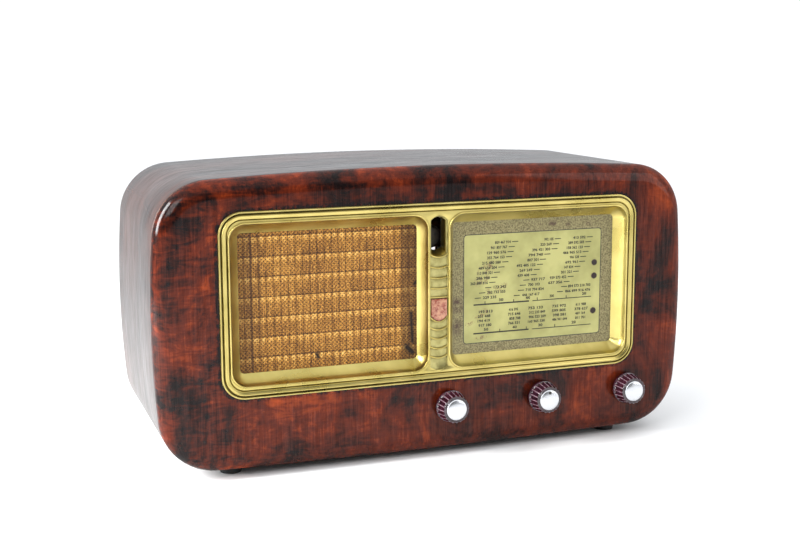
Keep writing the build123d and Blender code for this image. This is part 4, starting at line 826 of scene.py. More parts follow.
def bead(mesh: Mesh, path: Sequence[Vector], half_width: float, height: float, slot: int = 0,
         count: int = 10) -> None:
    """Sweep a raised bead along a path across the front view.

    Args:
        mesh: The mesh.
        path: The bead's middle line, from left to right.
        half_width: Half of its width.
        height: How far it stands out to the front.
        slot: Its material slot.
        count: Points around it.
    """
    rings = []
    for index, point in enumerate(path):
        along = (path[min(index + 1, len(path) - 1)] - path[max(index - 1, 0)]).normalized()
        side = along.cross(Vector((0, 1, 0))).normalized()
        rings.append([point + side * half_width * math.cos(math.tau * step / count)
                      + Vector((0, -height, 0)) * math.sin(math.tau * step / count) for step in range(count)])
    cap_ends(mesh, *loft(mesh, rings, slot))


class Facing(Enum):
    """How the faces of a new mesh are turned."""

    OUTWARD = "outward"
    FORWARD = "forward"


def finished(name: str, mesh: Mesh, materials: Sequence[Material],
             body: str = "cabinet", facing: Facing = Facing.OUTWARD, smooth_degrees: float = 38.0,
             replaces: Sequence[str] = ()) -> bpy.types.Object:
    """Make a piece from a mesh and let it ride.

    Args:
        name: The piece's name.
        mesh: Its mesh, which is used up.
        materials: Its finishes, in slot order.
        body: The body it rides on.
        facing: How its faces are turned.
        smooth_degrees: Edges flatter than this are shaded smooth.
        replaces: The CAD nodes that it stands for.

    Returns:
        The piece.
    """
    bmesh.ops.recalc_face_normals(mesh, faces=mesh.faces)
    if facing is Facing.FORWARD and sum(face.normal.y * face.calc_area() for face in mesh.faces) > 0:
        bmesh.ops.reverse_faces(mesh, faces=mesh.faces)
    data = bpy.data.meshes.new(name)
    mesh.to_mesh(data)
    mesh.free()
    for material in materials:
        data.materials.append(material)
    data.shade_smooth()
    data.set_sharp_from_angle(angle=math.radians(smooth_degrees))
    piece = put(name, data)
    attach(piece, body)
    if replaces:
        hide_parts(*replaces)
    LOG.info("%s: %d faces on %s", name, len(data.polygons), body)
    return piece


# Cabinet


@dataclass
class Cabinet:
    """The bowed, round-cornered cabinet: rounded front board, light seam and bent wrap."""

    finishes: Finishes
    side_bow: float = 8.4 * MM
    top_bow: float = 8.5 * MM
    bottom_bow: float = 3.2 * MM
    top_corner: float = 52.0 * MM
    bottom_corner: float = 54.0 * MM
    shell: float = 12.0 * MM
    round_inset: float = 18.0 * MM
    round_depth: float = 12.9 * MM
    round_steps: int = 14
    opening_margin: float = 7.5 * MM
    opening_corner: float = 15.0 * MM
    spindle_hole: float = 6.5 * MM
    seam_start: float = 13.1 * MM
    seam_end: float = 14.0 * MM
    seam_reach: float = 3.0 * MM
    seam_edge: float = 0.35 * MM
    seam_face: float = 0.15 * MM
    arris: float = 0.4 * MM
    back_round: float = 1.4 * MM
    inner_arris: float = 0.6 * MM
    side_count: int = 26
    across_count: int = 44
    corner_count: int = 22

    def build(self) -> None:
        """Build the front, the seam and the wrap."""
        self.outline = self.draw()
        self.front()
        self.seam()
        self.wrap()

    def draw(self) -> Outline:
        """Draw the front view from four large arcs and four corner arcs."""
        low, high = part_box("front_panel")
        rise = (high.z - self.top_bow - low.z - self.bottom_bow) / 2
        level = high.x - self.side_bow
        side_radius = (rise ** 2 + self.side_bow ** 2) / (2 * self.side_bow)
        top_radius = (level ** 2 + self.top_bow ** 2) / (2 * self.top_bow)
        bottom_radius = (level ** 2 + self.bottom_bow ** 2) / (2 * self.bottom_bow)
        middle = low.z + self.bottom_bow + rise
        right = Vector((high.x - side_radius, middle))
        left = Vector((side_radius - high.x, middle))
        top = Vector((0, high.z - top_radius))
        bottom = Vector((0, low.z + bottom_radius))
        corner_at = {}
        for name, side, across, radius, corner, way in (
                ("top_right", right, top, top_radius, self.top_corner, (1, 1)),
                ("top_left", left, top, top_radius, self.top_corner, (-1, 1)),
                ("bottom_left", left, bottom, bottom_radius, self.bottom_corner, (-1, -1)),
                ("bottom_right", right, bottom, bottom_radius, self.bottom_corner, (1, -1))):
            corner_at[name] = far_meeting(side, side_radius - corner, across, radius - corner, Vector(way))
        stations = []
        for centre, radius, count, first, last, corner, onward in (
                (right, side_radius, self.side_count, "bottom_right", "top_right", self.top_corner, top),
                (top, top_radius, self.across_count, "top_right", "top_left", self.top_corner, left),
                (left, side_radius, self.side_count, "top_left", "bottom_left", self.bottom_corner, bottom),
                (bottom, bottom_radius, self.across_count, "bottom_left", "bottom_right",
                 self.bottom_corner, right)):
            turn = corner_at[last]
            start, end = angle_of(corner_at[first] - centre), angle_of(turn - centre)
            stations += arc_stations(centre, radius, start, end, count)
            stations += arc_stations(turn, corner, end, angle_of(turn - onward), self.corner_count)
        return Outline(tuple(stations))

    def front(self) -> None:
        """Build the front board with its elliptical edge, its opening and its spindle holes."""
        mesh = new_mesh()
        rings = [self.outline.ring(self.arris, self.seam_start)]
        for step in range(self.round_steps + 1):
            turn = math.pi / 2 * step / self.round_steps
            rings.append(self.outline.ring(self.round_inset * (1 - math.cos(turn)),
                                           self.round_depth * (1 - math.sin(turn))))
        back, face = loft(mesh, rings)
        low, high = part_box("surround")
        holes = [rounded_rectangle(Vector((0, SURROUND_Z)), high.x - low.x - 2 * self.opening_margin,
                                   high.z - low.z - 2 * self.opening_margin, self.opening_corner)]
        for knob in ("volume_knob", "wave_knob", "tuning_knob"):
            centre = centre_of(knob)
            holes.append(circle_outline(centre.x, centre.z, self.spindle_hole))
        ends = [loft(mesh, [hole.ring(0, 0), hole.ring(0, self.seam_start)]) for hole in holes]
        fill(mesh, face, *[end[0] for end in ends])
        fill(mesh, back, *[end[1] for end in ends])
        finished("cabinet_front", mesh, [self.finishes.front_veneer], replaces=["front_panel"])

    def seam(self) -> None:
        """Build the light edge of the bare wood between the front and the wrap."""
        mesh = new_mesh()
        rings = [self.outline.ring(inset, depth) for inset, depth in (
            (self.seam_reach, self.seam_start), (self.seam_edge, self.seam_start),
            (self.seam_face, self.seam_start + self.seam_face),
            (self.seam_face, self.seam_end - self.seam_face),
            (self.seam_edge, self.seam_end), (self.seam_reach, self.seam_end))]
        loft(mesh, rings, closed=True)
        finished("cabinet_seam", mesh, [self.finishes.edge_wood])

    def wrap(self) -> None:
        """Build the bent wrap with its bare inside."""
        mesh = new_mesh()
        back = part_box("cabinet_shell")[1].y - FRONT_Y
        start = self.seam_end
        outer = ((self.arris, start), (0.0, start + self.arris), (0.0, back - self.back_round),
                 (self.arris, back - self.arris), (self.back_round, back))
        inner = ((self.back_round, back), (self.shell - self.inner_arris, back),
                 (self.shell, back - self.inner_arris), (self.shell, start))
        loft(mesh, [self.outline.ring(*step) for step in outer])
        loft(mesh, [self.outline.ring(*step) for step in inner], slot=1)
        bmesh.ops.remove_doubles(mesh, verts=mesh.verts, dist=MERGE_DISTANCE)
        ends = [edge for edge in mesh.edges if edge.is_boundary]
        for face in bmesh.ops.bridge_loops(mesh, edges=ends)["faces"]:
            face.material_index = 1
        finished("cabinet_wrap", mesh, [self.finishes.side_veneer, self.finishes.sawn],
                 replaces=["cabinet_shell"])


# Gold surround


def arched_ring(half: float, top: float, rise: float, low: float, sag: float, depth: float,
                steps: int = 16) -> Ring:
    """A tall ring with an arc over its top and an arc under its bottom.

    Args:
        half: Half of its width.
        top: The height of its top over the surround's middle.
        rise: The rise of the top arc.
        low: The height of its lowest point.
        sag: The rise of the lower arc.
        depth: How far behind the front of the wood.
        steps: Points on each of its four sides.

    Returns:
        The ring's points.
    """
    points = []
    for index in range(steps):
        x = half * math.cos(math.pi * index / steps)
        points.append((x, top - rise * (x / half) ** 2))
    for index in range(steps):
        points.append((-half, top - rise + (low + sag - top + rise) * index / steps))
    for index in range(steps):
        x = -half * math.cos(math.pi * index / steps)
        points.append((x, low + sag * (x / half) ** 2))
    for index in range(steps):
        points.append((half, low + sag + (top - rise - low - sag) * index / steps))
    return [spot(x, depth, SURROUND_Z + z) for x, z in points]


@dataclass
class Surround:
    """The pressed surround: beads, two sloping windows, a ribbed trough between them and the eye slot.

    bead_rings holds an inset and a depth, rim_rings a growth of the window and a depth, ribs_at a height over
    the surround's middle and a sag, all in millimetres.
    """

    finishes: Finishes
    corner: float = SURROUND_CORNER
    base: float = 1.5 * MM
    margin_x: float = 9.7 * MM
    margin_z: float = 11.1 * MM
    inner_x: float = 10.8 * MM
    window_corner: float = 15.0 * MM
    corner_loss: float = 11.0 * MM
    recess: float = 10.0 * MM
    slope_outer: float = 10.0 * MM
    slope_inner: float = 7.5 * MM
    slope_bend: float = 0.9 * MM
    slope_shares: tuple[float, ...] = (0.08, 0.3, 0.55, 0.8, 0.95)
    ledge: float = 2.5 * MM
    ledge_drop: float = 0.2 * MM
    trough_half: float = 8.9 * MM
    trough_depth: float = 2.4 * MM
    trough_top: float = 73.4 * MM
    trough_low: float = -75.0 * MM
    trough_sag: float = 3.0 * MM
    arch_rise: float = 4.6 * MM
    slot_half: float = 7.5 * MM
    slot_below_top: float = 1.2 * MM
    slot_rise_share: float = 0.8
    slot_sag: float = 2.6 * MM
    slot_low: float = 34.4 * MM
    slot_depth: float = 11.0 * MM
    bead_rings: Steps = (
        (0.0, 0.0), (0.0, -1.9), (0.3, -2.35), (0.95, -2.5), (1.6, -2.3), (1.95, -1.6), (2.3, -0.9),
        (2.75, -0.8), (3.1, -1.3), (3.3, -2.5), (3.7, -3.1), (4.3, -3.25), (4.9, -3.1), (5.35, -2.75),
        (5.9, -2.6), (6.7, -2.5), (7.15, -2.2), (7.4, -1.3), (7.75, -0.9), (8.1, -1.1), (8.4, -1.5))
    rim_rings: Steps = (
        (1.25, -1.5), (1.15, -2.2), (0.8, -2.7), (0.3, -2.9), (-0.2, -2.75), (-0.6, -2.2))
    ribs_at: Steps = (
        (33.6, 3.0), (23.2, 1.6), (13.3, 1.1), (3.4, 0.8), (-5.0, 0.1), (-28.2, 5.0), (-36.4, 3.0),
        (-45.3, 2.8), (-54.8, 2.7), (-63.7, 2.6))
    rib_steps: int = 12
    rib_half_width: float = 1.0 * MM
    rib_height: float = 2.1 * MM

    def build(self) -> None:
        """Build the shell, its windows, its trough and its ribs."""
        low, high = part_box("surround")
        self.half_width = high.x
        self.half_height = (high.z - low.z) / 2
        mesh = new_mesh()
        outline = rounded_rectangle(Vector((0, SURROUND_Z)), 2 * self.half_width, 2 * self.half_height,
                                    self.corner, corner_count=16, side_count=12)
        _, plate = loft(mesh, [outline.ring(inset * MM, depth * MM) for inset, depth in self.bead_rings])
        fill(mesh, plate, self.window(mesh, -1), self.window(mesh, 1), self.trough(mesh))
        finished("surround_gold", mesh, [self.finishes.gold, self.finishes.dull_gold],
                 facing=Facing.FORWARD, smooth_degrees=42, replaces=["surround"])
        self.ribs()

    def window_ring(self, side: int, share: float, growth: float, depth: float) -> Ring:
        """One ring of a window, between its mouth (0) and the bottom of its recess (1).

        Args:
            side: -1 for the left window, 1 for the right one.
            share: How far down the slope.
            growth: How far outside that ring.
            depth: How far behind the front of the wood.

        Returns:
            The ring's points.
        """
        inner = self.inner_x + share * self.slope_inner - growth
        outer = self.half_width - self.margin_x - share * self.slope_outer + growth
        half_height = self.half_height - self.margin_z - share * self.slope_outer + growth
        radius = self.window_corner - share * self.corner_loss + growth
        centre = Vector((side * (inner + outer) / 2, SURROUND_Z))
        return rounded_rectangle(centre, outer - inner, 2 * half_height, radius).ring(0, depth)

    def window(self, mesh: Mesh, side: int) -> Edges:
        """Build one window's rim, slope and the ledge at its bottom.

        Args:
            mesh: The surround's mesh.
            side: -1 for the left window, 1 for the right one.

        Returns:
            The edges where the rim meets the plate.
        """
        rings = [self.window_ring(side, 0, growth * MM, depth * MM) for growth, depth in self.rim_rings]
        for share in self.slope_shares:
            depth = share * (self.recess + self.base) - self.base
            bend = self.slope_bend * math.sin(math.pi * share)
            rings.append(self.window_ring(side, share, 0, depth + bend))
        rings.append(self.window_ring(side, 1.0, 0, self.recess))
        rings.append(self.window_ring(side, 1.0, self.ledge, self.recess + self.ledge_drop))
        return loft(mesh, rings)[0]

    def trough(self, mesh: Mesh) -> Edges:
        """Build the trough's wall and floor and the eye slot in it.

        Args:
            mesh: The surround's mesh.

        Returns:
            The edges where the trough meets the plate.
        """
        floor = self.trough_depth - self.base
        rings = []
        for inset, depth in ((0.0, -self.base), (0.15 * MM, 0.15 * MM - self.base),
                             (0.35 * MM, floor - 0.2 * MM), (0.6 * MM, floor)):
            rings.append(arched_ring(self.trough_half - inset, self.trough_top - inset, self.arch_rise,
                                     self.trough_low + inset, self.trough_sag, depth))
        edge, last = loft(mesh, rings, slot=1)
        mouth_top = self.trough_top - self.slot_below_top
        mouth_rings = []
        for inset, ledge, depth in ((0.0, 0.0, floor), (0.3 * MM, 0.4 * MM, floor + 0.5 * MM),
                                    (0.6 * MM, 5.0 * MM, self.slot_depth)):
            mouth_rings.append(arched_ring(self.slot_half - inset, mouth_top - inset,
                                           self.arch_rise * self.slot_rise_share, self.slot_low + ledge,
                                           self.slot_sag, depth))
        fill(mesh, last, loft(mesh, mouth_rings)[0], slot=1)
        return edge

    def ribs(self) -> None:
        """Lay the thin curved ribs across the trough."""
        mesh = new_mesh()
        floor = self.trough_depth - self.base
        for level, sag in self.ribs_at:
            path = []
            for index in range(self.rib_steps + 1):
                share = 2 * index / self.rib_steps - 1
                height = SURROUND_Z + (level + sag * share ** 2) * MM
                path.append(spot(self.trough_half * share, floor, height))
            bead(mesh, path, self.rib_half_width, self.rib_height)
        finished("surround_ribs", mesh, [self.finishes.gold], smooth_degrees=60)


@dataclass
class Badge:
    """A bare enamelled shield in the trough: flat at its top, curved at its foot, with a thin rim.

    steps holds an inset and a depth in millimetres.
    """

    finishes: Finishes
    half_width: float = 7.9 * MM
    top: float = -6.2 * MM
    low: float = -27.2 * MM
    sag: float = 5.0 * MM
    top_rise: float = 0.1 * MM
    steps: Steps = (
        (0.0, 0.0), (0.0, -1.5), (0.15, -1.9), (0.5, -2.0), (0.8, -1.7), (1.1, -1.75))

    def build(self) -> None:
        """Build the shield."""
        mesh = new_mesh()
        rings = [arched_ring(self.half_width - inset * MM, self.top - inset * MM, self.top_rise,
                             self.low + inset * MM, self.sag, depth * MM) for inset, depth in self.steps]
        cap_ends(mesh, *loft(mesh, rings))
        finished("badge_shield", mesh, [self.finishes.enamel], replaces=["badge"])


# Loudspeaker cloth


@dataclass
class SpeakerCloth:
    """The cloth stretched over the baffle behind the left window."""

    finishes: Finishes
    columns: int = 60
    rows: int = 46
    ripples: int = 7
    slack: float = 0.12 * MM

    def build(self) -> None:
        """Build the cloth with its faint ripples and its own UV map."""
        low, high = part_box("speaker_cloth")
        mesh = bmesh.new()
        bmesh.ops.create_grid(mesh, x_segments=self.columns, y_segments=self.rows, size=0.5)
        layer = mesh.loops.layers.uv.verify()
        for face in mesh.faces:
            for loop in face.loops:
                loop[layer].uv = (loop.vert.co.x + 0.5, loop.vert.co.y + 0.5)
        for vert in mesh.verts:
            across, up = vert.co.x + 0.5, vert.co.y + 0.5
            ripple = math.sin(self.ripples * math.pi * up) * math.sin(math.pi * across) * self.slack
            vert.co = Vector((low.x + across * (high.x - low.x), (low.y + high.y) / 2 + ripple,
                              low.z + up * (high.z - low.z)))
        cloth = finished("speaker_cloth_weave", mesh, [self.finishes.cloth],
                         facing=Facing.FORWARD, replaces=["speaker_cloth"])


# Dial


@dataclass(frozen=True)
class EntryColumn:
    """One slanted column of entries, in millimetres from the surround's middle.

    dash_ends holds the right end of each dash. late_rows come below them, with their dash on the left: its
    start, then the start and the stop of the numbers.
    """

    first_row: float
    pitch: float
    dash_ends: tuple[float, ...]
    late_rows: Steps

    def level(self, row: int) -> float:
        """The level of a row's middle."""
        return self.first_row - row * self.pitch


@dataclass
class Dial:
    """The printed dial: ground, framed field, columns of plain numbers with dashes, two scales, holes.

    Its sizes and places are in millimetres, places from the surround's middle. A lift is how far a print lies
    in front of the glass. The four rows under the columns end raggedly, by random amounts from one seed.
    """

    finishes: Finishes
    left: float = 30.0
    right: float = 178.0
    top: float = 51.5
    low: float = -55.0
    corner: float = 3.2
    field_lift: float = 0.05
    print_lift: float = 0.12
    line_lift: float = 0.1
    line_edges: tuple[float, float] = (-0.35, 0.4)
    slab_corner: float = 0.8
    slab_edge: float = 0.2
    figure_height: float = 2.9
    figure_offset: float = 0.035
    figure_half_width: float = 2.4
    figures_over_line: float = 3.4
    group_width: float = 6.5
    dash_length: float = 6.6
    dash_gap: float = 1.4
    entry_widths: tuple[float, float] = (10.0, 21.0)
    ragged_left: float = 2.0
    ragged_right: float = 4.0
    smallest_number: int = 100
    largest_number: int = 999
    thin: float = 0.4
    tick_top: float = 3.0
    columns: tuple[EntryColumn, ...] = (
        EntryColumn(42.7, 4.85, (87.3, 83.7, 82.5, 80.9, 77.0, 72.9, 68.2, 65.5, 63.4),
                    ((52.5, 61.6, 74.8), (46.2, 54.6, 74.2), (41.7, 50.2, 64.6))),
        EntryColumn(43.0, 4.89, (133.4, 131.5, 130.0, 122.3, 117.5, 114.3, 110.9, 107.6),
                    ((93.3, 101.6, 116.9), (89.5, 98.4, 111.1), (87.6, 95.8, 115.6), (83.1, 92.0, 111.1))),
        EntryColumn(43.0, 4.83, (168.8, 167.2, 165.9, 164.4, 161.8, 160.8, 155.7, 154.1, 148.3, 143.9),
                    ((134.7, 142.3, 167.2), (130.2, 139.2, 167.2))))
    lower_columns: Steps = ((44.3, 60.8), (76.7, 90.8), (98.4, 118.8), (124.5, 142.3), (149.3, 165.3))
    lower_first_row: float = -24.4
    lower_pitch: float = 4.5
    lower_rows: int = 4
    scale_levels: tuple[float, float] = (-17.2, -45.6)
    scale_lines: Steps = ((40.4, 99.7, 0.7), (103.3, 168.4, 0.4))
    tick_places: Steps = ((52.5, 83.1, 108.6, 140.4), (68.5, 97.1, 128.3))
    figure_places: Steps = ((69.7, 98.4, 124.5, 160.5), (53.8, 84.4, 112.4, 149.3))
    scale_figures: tuple[tuple[str, ...], ...] = (("500", "400", "300", "200"), ("50", "40", "30", "20"))
    holes: Steps = ((171.0, 17.1), (171.0, 3.7), (170.6, -31.7))
    hole_radius: float = 3.4
    hole_lip: Steps = ((0.0, 0.14), (0.25, 0.3), (0.5, 0.25))
    hole_floor: Steps = ((0.5, 0.25), (0.7, 0.08))
    seed: int = 5

    def build(self) -> None:
        """Build the ground, the field, its frame and all print."""
        self.random = random.Random(self.seed)
        self.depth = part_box("dial_glass")[0].y - FRONT_Y
        self.ground()
        self.field()
        self.frame_line()
        self.print_lines()
        self.print_figures()
        self.peg_holes()

    def panel(self, mesh: Mesh, x1: float, x2: float, z1: float, z2: float, lift: float,
              corner: float = 0.1) -> None:
        """Lay one flat shape on the dial.

        Args:
            mesh: The mesh.
            x1: Its left side in millimetres.
            x2: Its right side.
            z1: Its lower side, over the surround's middle.
            z2: Its upper side.
            lift: How far it lies in front of the glass.
            corner: Its corner radius.
        """
        centre = Vector(((x1 + x2) / 2 * MM, SURROUND_Z + (z1 + z2) / 2 * MM))
        outline = rounded_rectangle(centre, (x2 - x1) * MM, (z2 - z1) * MM, corner * MM,
                                    corner_count=8 if corner > 1 else 1, side_count=1)
        cap_ends(mesh, loft(mesh, [outline.ring(0, self.depth - lift * MM)])[0])

    def ground(self) -> None:
        """Build the mottled ground as a slab the size of the glass."""
        low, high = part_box("dial_glass")
        mesh = new_mesh()
        centre = Vector(((low.x + high.x) / 2, (low.z + high.z) / 2))
        outline = rounded_rectangle(centre, high.x - low.x, high.z - low.z, self.slab_corner * MM,
                                    corner_count=3, side_count=2)
        front = low.y - FRONT_Y
        rings = [outline.ring(0, high.y - FRONT_Y), outline.ring(0, front + self.slab_edge * MM),
                 outline.ring(self.slab_edge * MM, front)]
        cap_ends(mesh, *loft(mesh, rings))
        finished("dial_ground", mesh, [self.finishes.ground], replaces=["dial_glass"])

    def field(self) -> None:
        """Build the printed field."""
        mesh = new_mesh()
        self.panel(mesh, self.left, self.right, self.low, self.top, self.field_lift, self.corner)
        finished("dial_field", mesh, [self.finishes.dial], facing=Facing.FORWARD)

    def frame_line(self) -> None:
        """Build the thin dark line round the field."""
        mesh = new_mesh()
        centre = Vector(((self.left + self.right) / 2 * MM, SURROUND_Z + (self.low + self.top) / 2 * MM))
        outline = rounded_rectangle(centre, (self.right - self.left) * MM, (self.top - self.low) * MM,
                                    self.corner * MM, corner_count=10, side_count=2)
        depth = self.depth - self.line_lift * MM
        loft(mesh, [outline.ring(inset * MM, depth) for inset in self.line_edges])
        finished("dial_frame_line", mesh, [self.finishes.line], facing=Facing.FORWARD)

    def print_lines(self) -> None:
        """Print the dashes, the two scale lines and their ticks."""
        mesh = new_mesh()
        for column in self.columns:
            rows = [dash_end - self.dash_length for dash_end in column.dash_ends]
            rows += [dash_start for dash_start, _, _ in column.late_rows]
            for row, dash_start in enumerate(rows):
                self.stroke(mesh, dash_start, dash_start + self.dash_length, column.level(row), self.thin)
        for level, ticks in zip(self.scale_levels, self.tick_places):
            for line_start, line_stop, half_height in self.scale_lines:
                self.stroke(mesh, line_start, line_stop, level, half_height)
            for tick in ticks:
                self.panel(mesh, tick - self.thin, tick + self.thin, level + self.thin, level + self.tick_top,
                           self.print_lift)
        finished("dial_lines", mesh, [self.finishes.ink], facing=Facing.FORWARD)

    def stroke(self, mesh: Mesh, start: float, stop: float, level: float, half_height: float) -> None:
        """Print one level stroke."""
        self.panel(mesh, start, stop, level - half_height, level + half_height, self.print_lift)

    def print_figures(self) -> None:
        """Print the plain numbers of the entries and of the scales."""
        mesh = bmesh.new()
        for column in self.columns:
            for row, dash_end in enumerate(column.dash_ends):
                stop = dash_end - self.dash_length - self.dash_gap
                self.number_row(mesh, stop - self.random.uniform(*self.entry_widths), stop, column.level(row))
            for row, (_, start, stop) in enumerate(column.late_rows, len(column.dash_ends)):
                self.number_row(mesh, start, stop, column.level(row))
        for start, stop in self.lower_columns:
            for row in range(self.lower_rows):
                self.number_row(mesh, start + self.random.uniform(0, self.ragged_left),
                                stop - self.random.uniform(0, self.ragged_right),
                                self.lower_first_row - row * self.lower_pitch)
        for level, places, figures in zip(self.scale_levels, self.figure_places, self.scale_figures):
            for place, text in zip(places, figures):
                self.write(mesh, text, place - self.figure_half_width, place + self.figure_half_width,
                           level + self.figures_over_line)
        finished("dial_figures", mesh, [self.finishes.ink], facing=Facing.FORWARD)

    def number_row(self, mesh: Mesh, start: float, stop: float, level: float) -> None:
        """Print a row of plain numbers between two places.

        Args:
            mesh: The mesh that takes it.
            start: Its left side.
            stop: Its right side.
            level: The level of its middle.
        """
        count = max(1, round((stop - start) / self.group_width))
        text = " ".join(str(self.random.randint(self.smallest_number, self.largest_number))
                        for _ in range(count))
        self.write(mesh, text, start, stop, level)

    def write(self, mesh: Mesh, text: str, start: float, stop: float, level: float) -> None:
        """Write one text as mesh, stretched between two places.

        Args:
            mesh: The mesh that takes it.
            text: The text.
            start: Its left side in millimetres.
            stop: Its right side.
            level: The level of its middle, over the surround's middle.
        """
        curve = bpy.data.curves.new("figure", "FONT")
        curve.body = text
        curve.resolution_u = 2
        curve.offset = self.figure_offset
        holder = put("figure", curve)
        bpy.context.view_layer.update()
        flat = bpy.data.meshes.new_from_object(holder.evaluated_get(bpy.context.evaluated_depsgraph_get()))
        xs = [vert.co.x for vert in flat.vertices]
        ys = [vert.co.y for vert in flat.vertices]
        wide = (stop - start) / (max(xs) - min(xs)) * MM
        tall = self.figure_height / (max(ys) - min(ys)) * MM
        corner = spot(start * MM - min(xs) * wide, self.depth - self.print_lift * MM,
                      SURROUND_Z + (level - self.figure_height / 2) * MM - min(ys) * tall)
        flat.transform(Matrix(((wide, 0, 0, corner.x), (0, 0, 1, corner.y), (0, tall, 0, corner.z),
                               (0, 0, 0, 1))))
        mesh.from_mesh(flat)
        bpy.data.objects.remove(holder)
        bpy.data.curves.remove(curve)
        bpy.data.meshes.remove(flat)

    def peg_holes(self) -> None:
        """Build the three holes at the field's right edge, each with a thin light lip and a floor painted
        nearly black as shade.
        """
        mesh = new_mesh()
        for x, z in self.holes:
            outline = circle_outline(x * MM, SURROUND_Z + z * MM, self.hole_radius * MM, 32)
            loft(mesh, [outline.ring(inset * MM, self.depth - lift * MM) for inset, lift in self.hole_lip])
            # Each floor is painted nearly black as the shade inside its hole
            floor = [outline.ring(inset * MM, self.depth - lift * MM) for inset, lift in self.hole_floor]
            _, bottom = loft(mesh, floor, slot=1)
            fill(mesh, bottom, slot=1)
        bmesh.ops.remove_doubles(mesh, verts=mesh.verts, dist=MERGE_DISTANCE)
        finished("dial_peg_holes", mesh, [self.finishes.ground, self.finishes.void],
                 facing=Facing.FORWARD)


# Knobs


@dataclass
class Knob:
    """One fluted knob with its domed metal cap.

    profile holds a radius, a depth and a share of the flutes' depth, cap_profile a radius and a depth, all in
    millimetres from the knob's axis and the front of the wood.
    """

    finishes: Finishes
    control: str
    flutes: int = 20
    steps_per_flute: int = 10
    ridge_steps: int = 2
    flute_depth: float = 1.4
    flute_fullness: float = 0.6
    # Depths between which the ridges carry a painted highlight
    worn_depths: tuple[float, float] = (-16.6, -4.4)
    cap_radius: float = 10.1
    cap_count: int = 64
    dot_place: tuple[float, float] = (0.2, 7.2)
    dot_radius: float = 1.6
    dot_steps: Steps = ((0.0, -17.9), (0.0, -18.75), (0.25, -18.85))
    smooth_degrees: float = 30.0
    marked: bool = False
    profile: Steps = (
        (3.0, -1.5, 0.0), (14.9, -1.5, 0.0), (15.45, -1.75, 0.0), (15.6, -2.2, 0.0), (15.6, -3.6, 0.0),
        (15.4, -4.0, 0.0), (15.0, -4.2, 0.0), (15.1, -4.4, 0.3), (15.2, -5.2, 0.9), (14.95, -7.0, 1.0),
        (14.5, -10.0, 1.0), (14.05, -13.0, 0.95), (13.6, -15.6, 0.85), (13.45, -16.3, 0.6),
        (13.1, -16.9, 0.25), (12.6, -17.3, 0.0), (12.2, -17.35, 0.0), (11.9, -17.0, 0.0), (11.3, -16.95, 0.0),
        (10.9, -17.3, 0.0), (10.5, -17.3, 0.0), (10.25, -16.8, 0.0))
    cap_profile: Steps = (
        (9.9, -16.2), (10.1, -17.5), (10.1, -17.8), (9.9, -18.05), (9.5, -18.1), (9.2, -18.02), (8.9, -18.15),
        (7.5, -18.55), (6.0, -18.83), (4.4, -19.02), (2.8, -19.13), (1.2, -19.18), (0.3, -19.19))

    def build(self) -> None:
        """Build the knob, its cap and, on one of them, its mark."""
        self.centre = centre_of(f"{self.control}_knob")
        self.moulding()
        self.dome()
        if self.marked:
            self.dot()

    def ring(self, radius: float, depth: float, flute: float, count: int) -> Ring:
        """One ring round the knob, scalloped by its flutes.

        Args:
            radius: The radius on the ridges, in millimetres.
            depth: Its depth, in millimetres.
            flute: The share of the flutes' depth that they have there.
            count: Points around it.

        Returns:
            The ring's points.
        """
        points = []
        hollow_steps = self.steps_per_flute - self.ridge_steps
        for index in range(count):
            angle = math.tau * index / count
            share = max(index % self.steps_per_flute - self.ridge_steps, 0) / hollow_steps
            scallop = math.sin(math.pi * share) ** self.flute_fullness
            reach = (radius - self.flute_depth * flute * scallop) * MM
            points.append(spot(self.centre.x + reach * math.cos(angle), depth * MM,
                               self.centre.z + reach * math.sin(angle)))
        return points

    def moulding(self) -> None:
        """Build the fluted moulding."""
        count = self.flutes * self.steps_per_flute
        mesh = new_mesh()
        cap_ends(mesh, *loft(mesh, [self.ring(*step, count) for step in self.profile]))
        station = mesh.verts.layers.int["station"]
        # Ridges between these depths take the paler finish: a painted highlight
        front, back = [FRONT_Y + depth * MM for depth in self.worn_depths]
        for face in mesh.faces:
            on_ridge = all(vert[station] % self.steps_per_flute <= self.ridge_steps for vert in face.verts)
            if on_ridge and front < face.calc_center_median().y < back:
                face.material_index = 1
        finished(f"{self.control}_knob_moulding", mesh, [self.finishes.plum, self.finishes.worn],
                 f"{self.control}_set", smooth_degrees=self.smooth_degrees,
                 replaces=[f"{self.control}_knob"])

    def dome(self) -> None:
        """Build the domed cap with its turned rim and its rings."""
        mesh = new_mesh()
        rings = [self.ring(radius, depth, 0.0, self.cap_count) for radius, depth in self.cap_profile]
        cap_ends(mesh, *loft(mesh, rings))
        layer = mesh.loops.layers.uv.verify()
        for face in mesh.faces:
            for loop in face.loops:
                reach = math.hypot(loop.vert.co.x - self.centre.x, loop.vert.co.z - self.centre.z)
                loop[layer].uv = (reach / (self.cap_radius * MM), 0.5)
        finished(f"{self.control}_knob_dome", mesh, [self.finishes.spun], f"{self.control}_set",
                 smooth_degrees=self.smooth_degrees, replaces=[f"{self.control}_knob_cap"])

    def dot(self) -> None:
        """Sink the dark index dot into the top of the cap."""
        mesh = new_mesh()
        x, z = self.dot_place
        outline = circle_outline(self.centre.x + x * MM, self.centre.z + z * MM, self.dot_radius * MM, 24)
        cap_ends(mesh, *loft(mesh, [outline.ring(inset * MM, depth * MM) for inset, depth in self.dot_steps]))
        finished(f"{self.control}_knob_dot", mesh, [self.finishes.line],
                 f"{self.control}_set")


# Studio


@dataclass(frozen=True)
class SoftBox:
    """One soft box: where it hangs, what it faces, its width and height in metres and its power in watts.

    matt_share says how much of its light matt surfaces take up.
    """

    name: str
    place: Place
    aim: Place
    size: tuple[float, float]
    power: float
    matt_share: float = 1.0


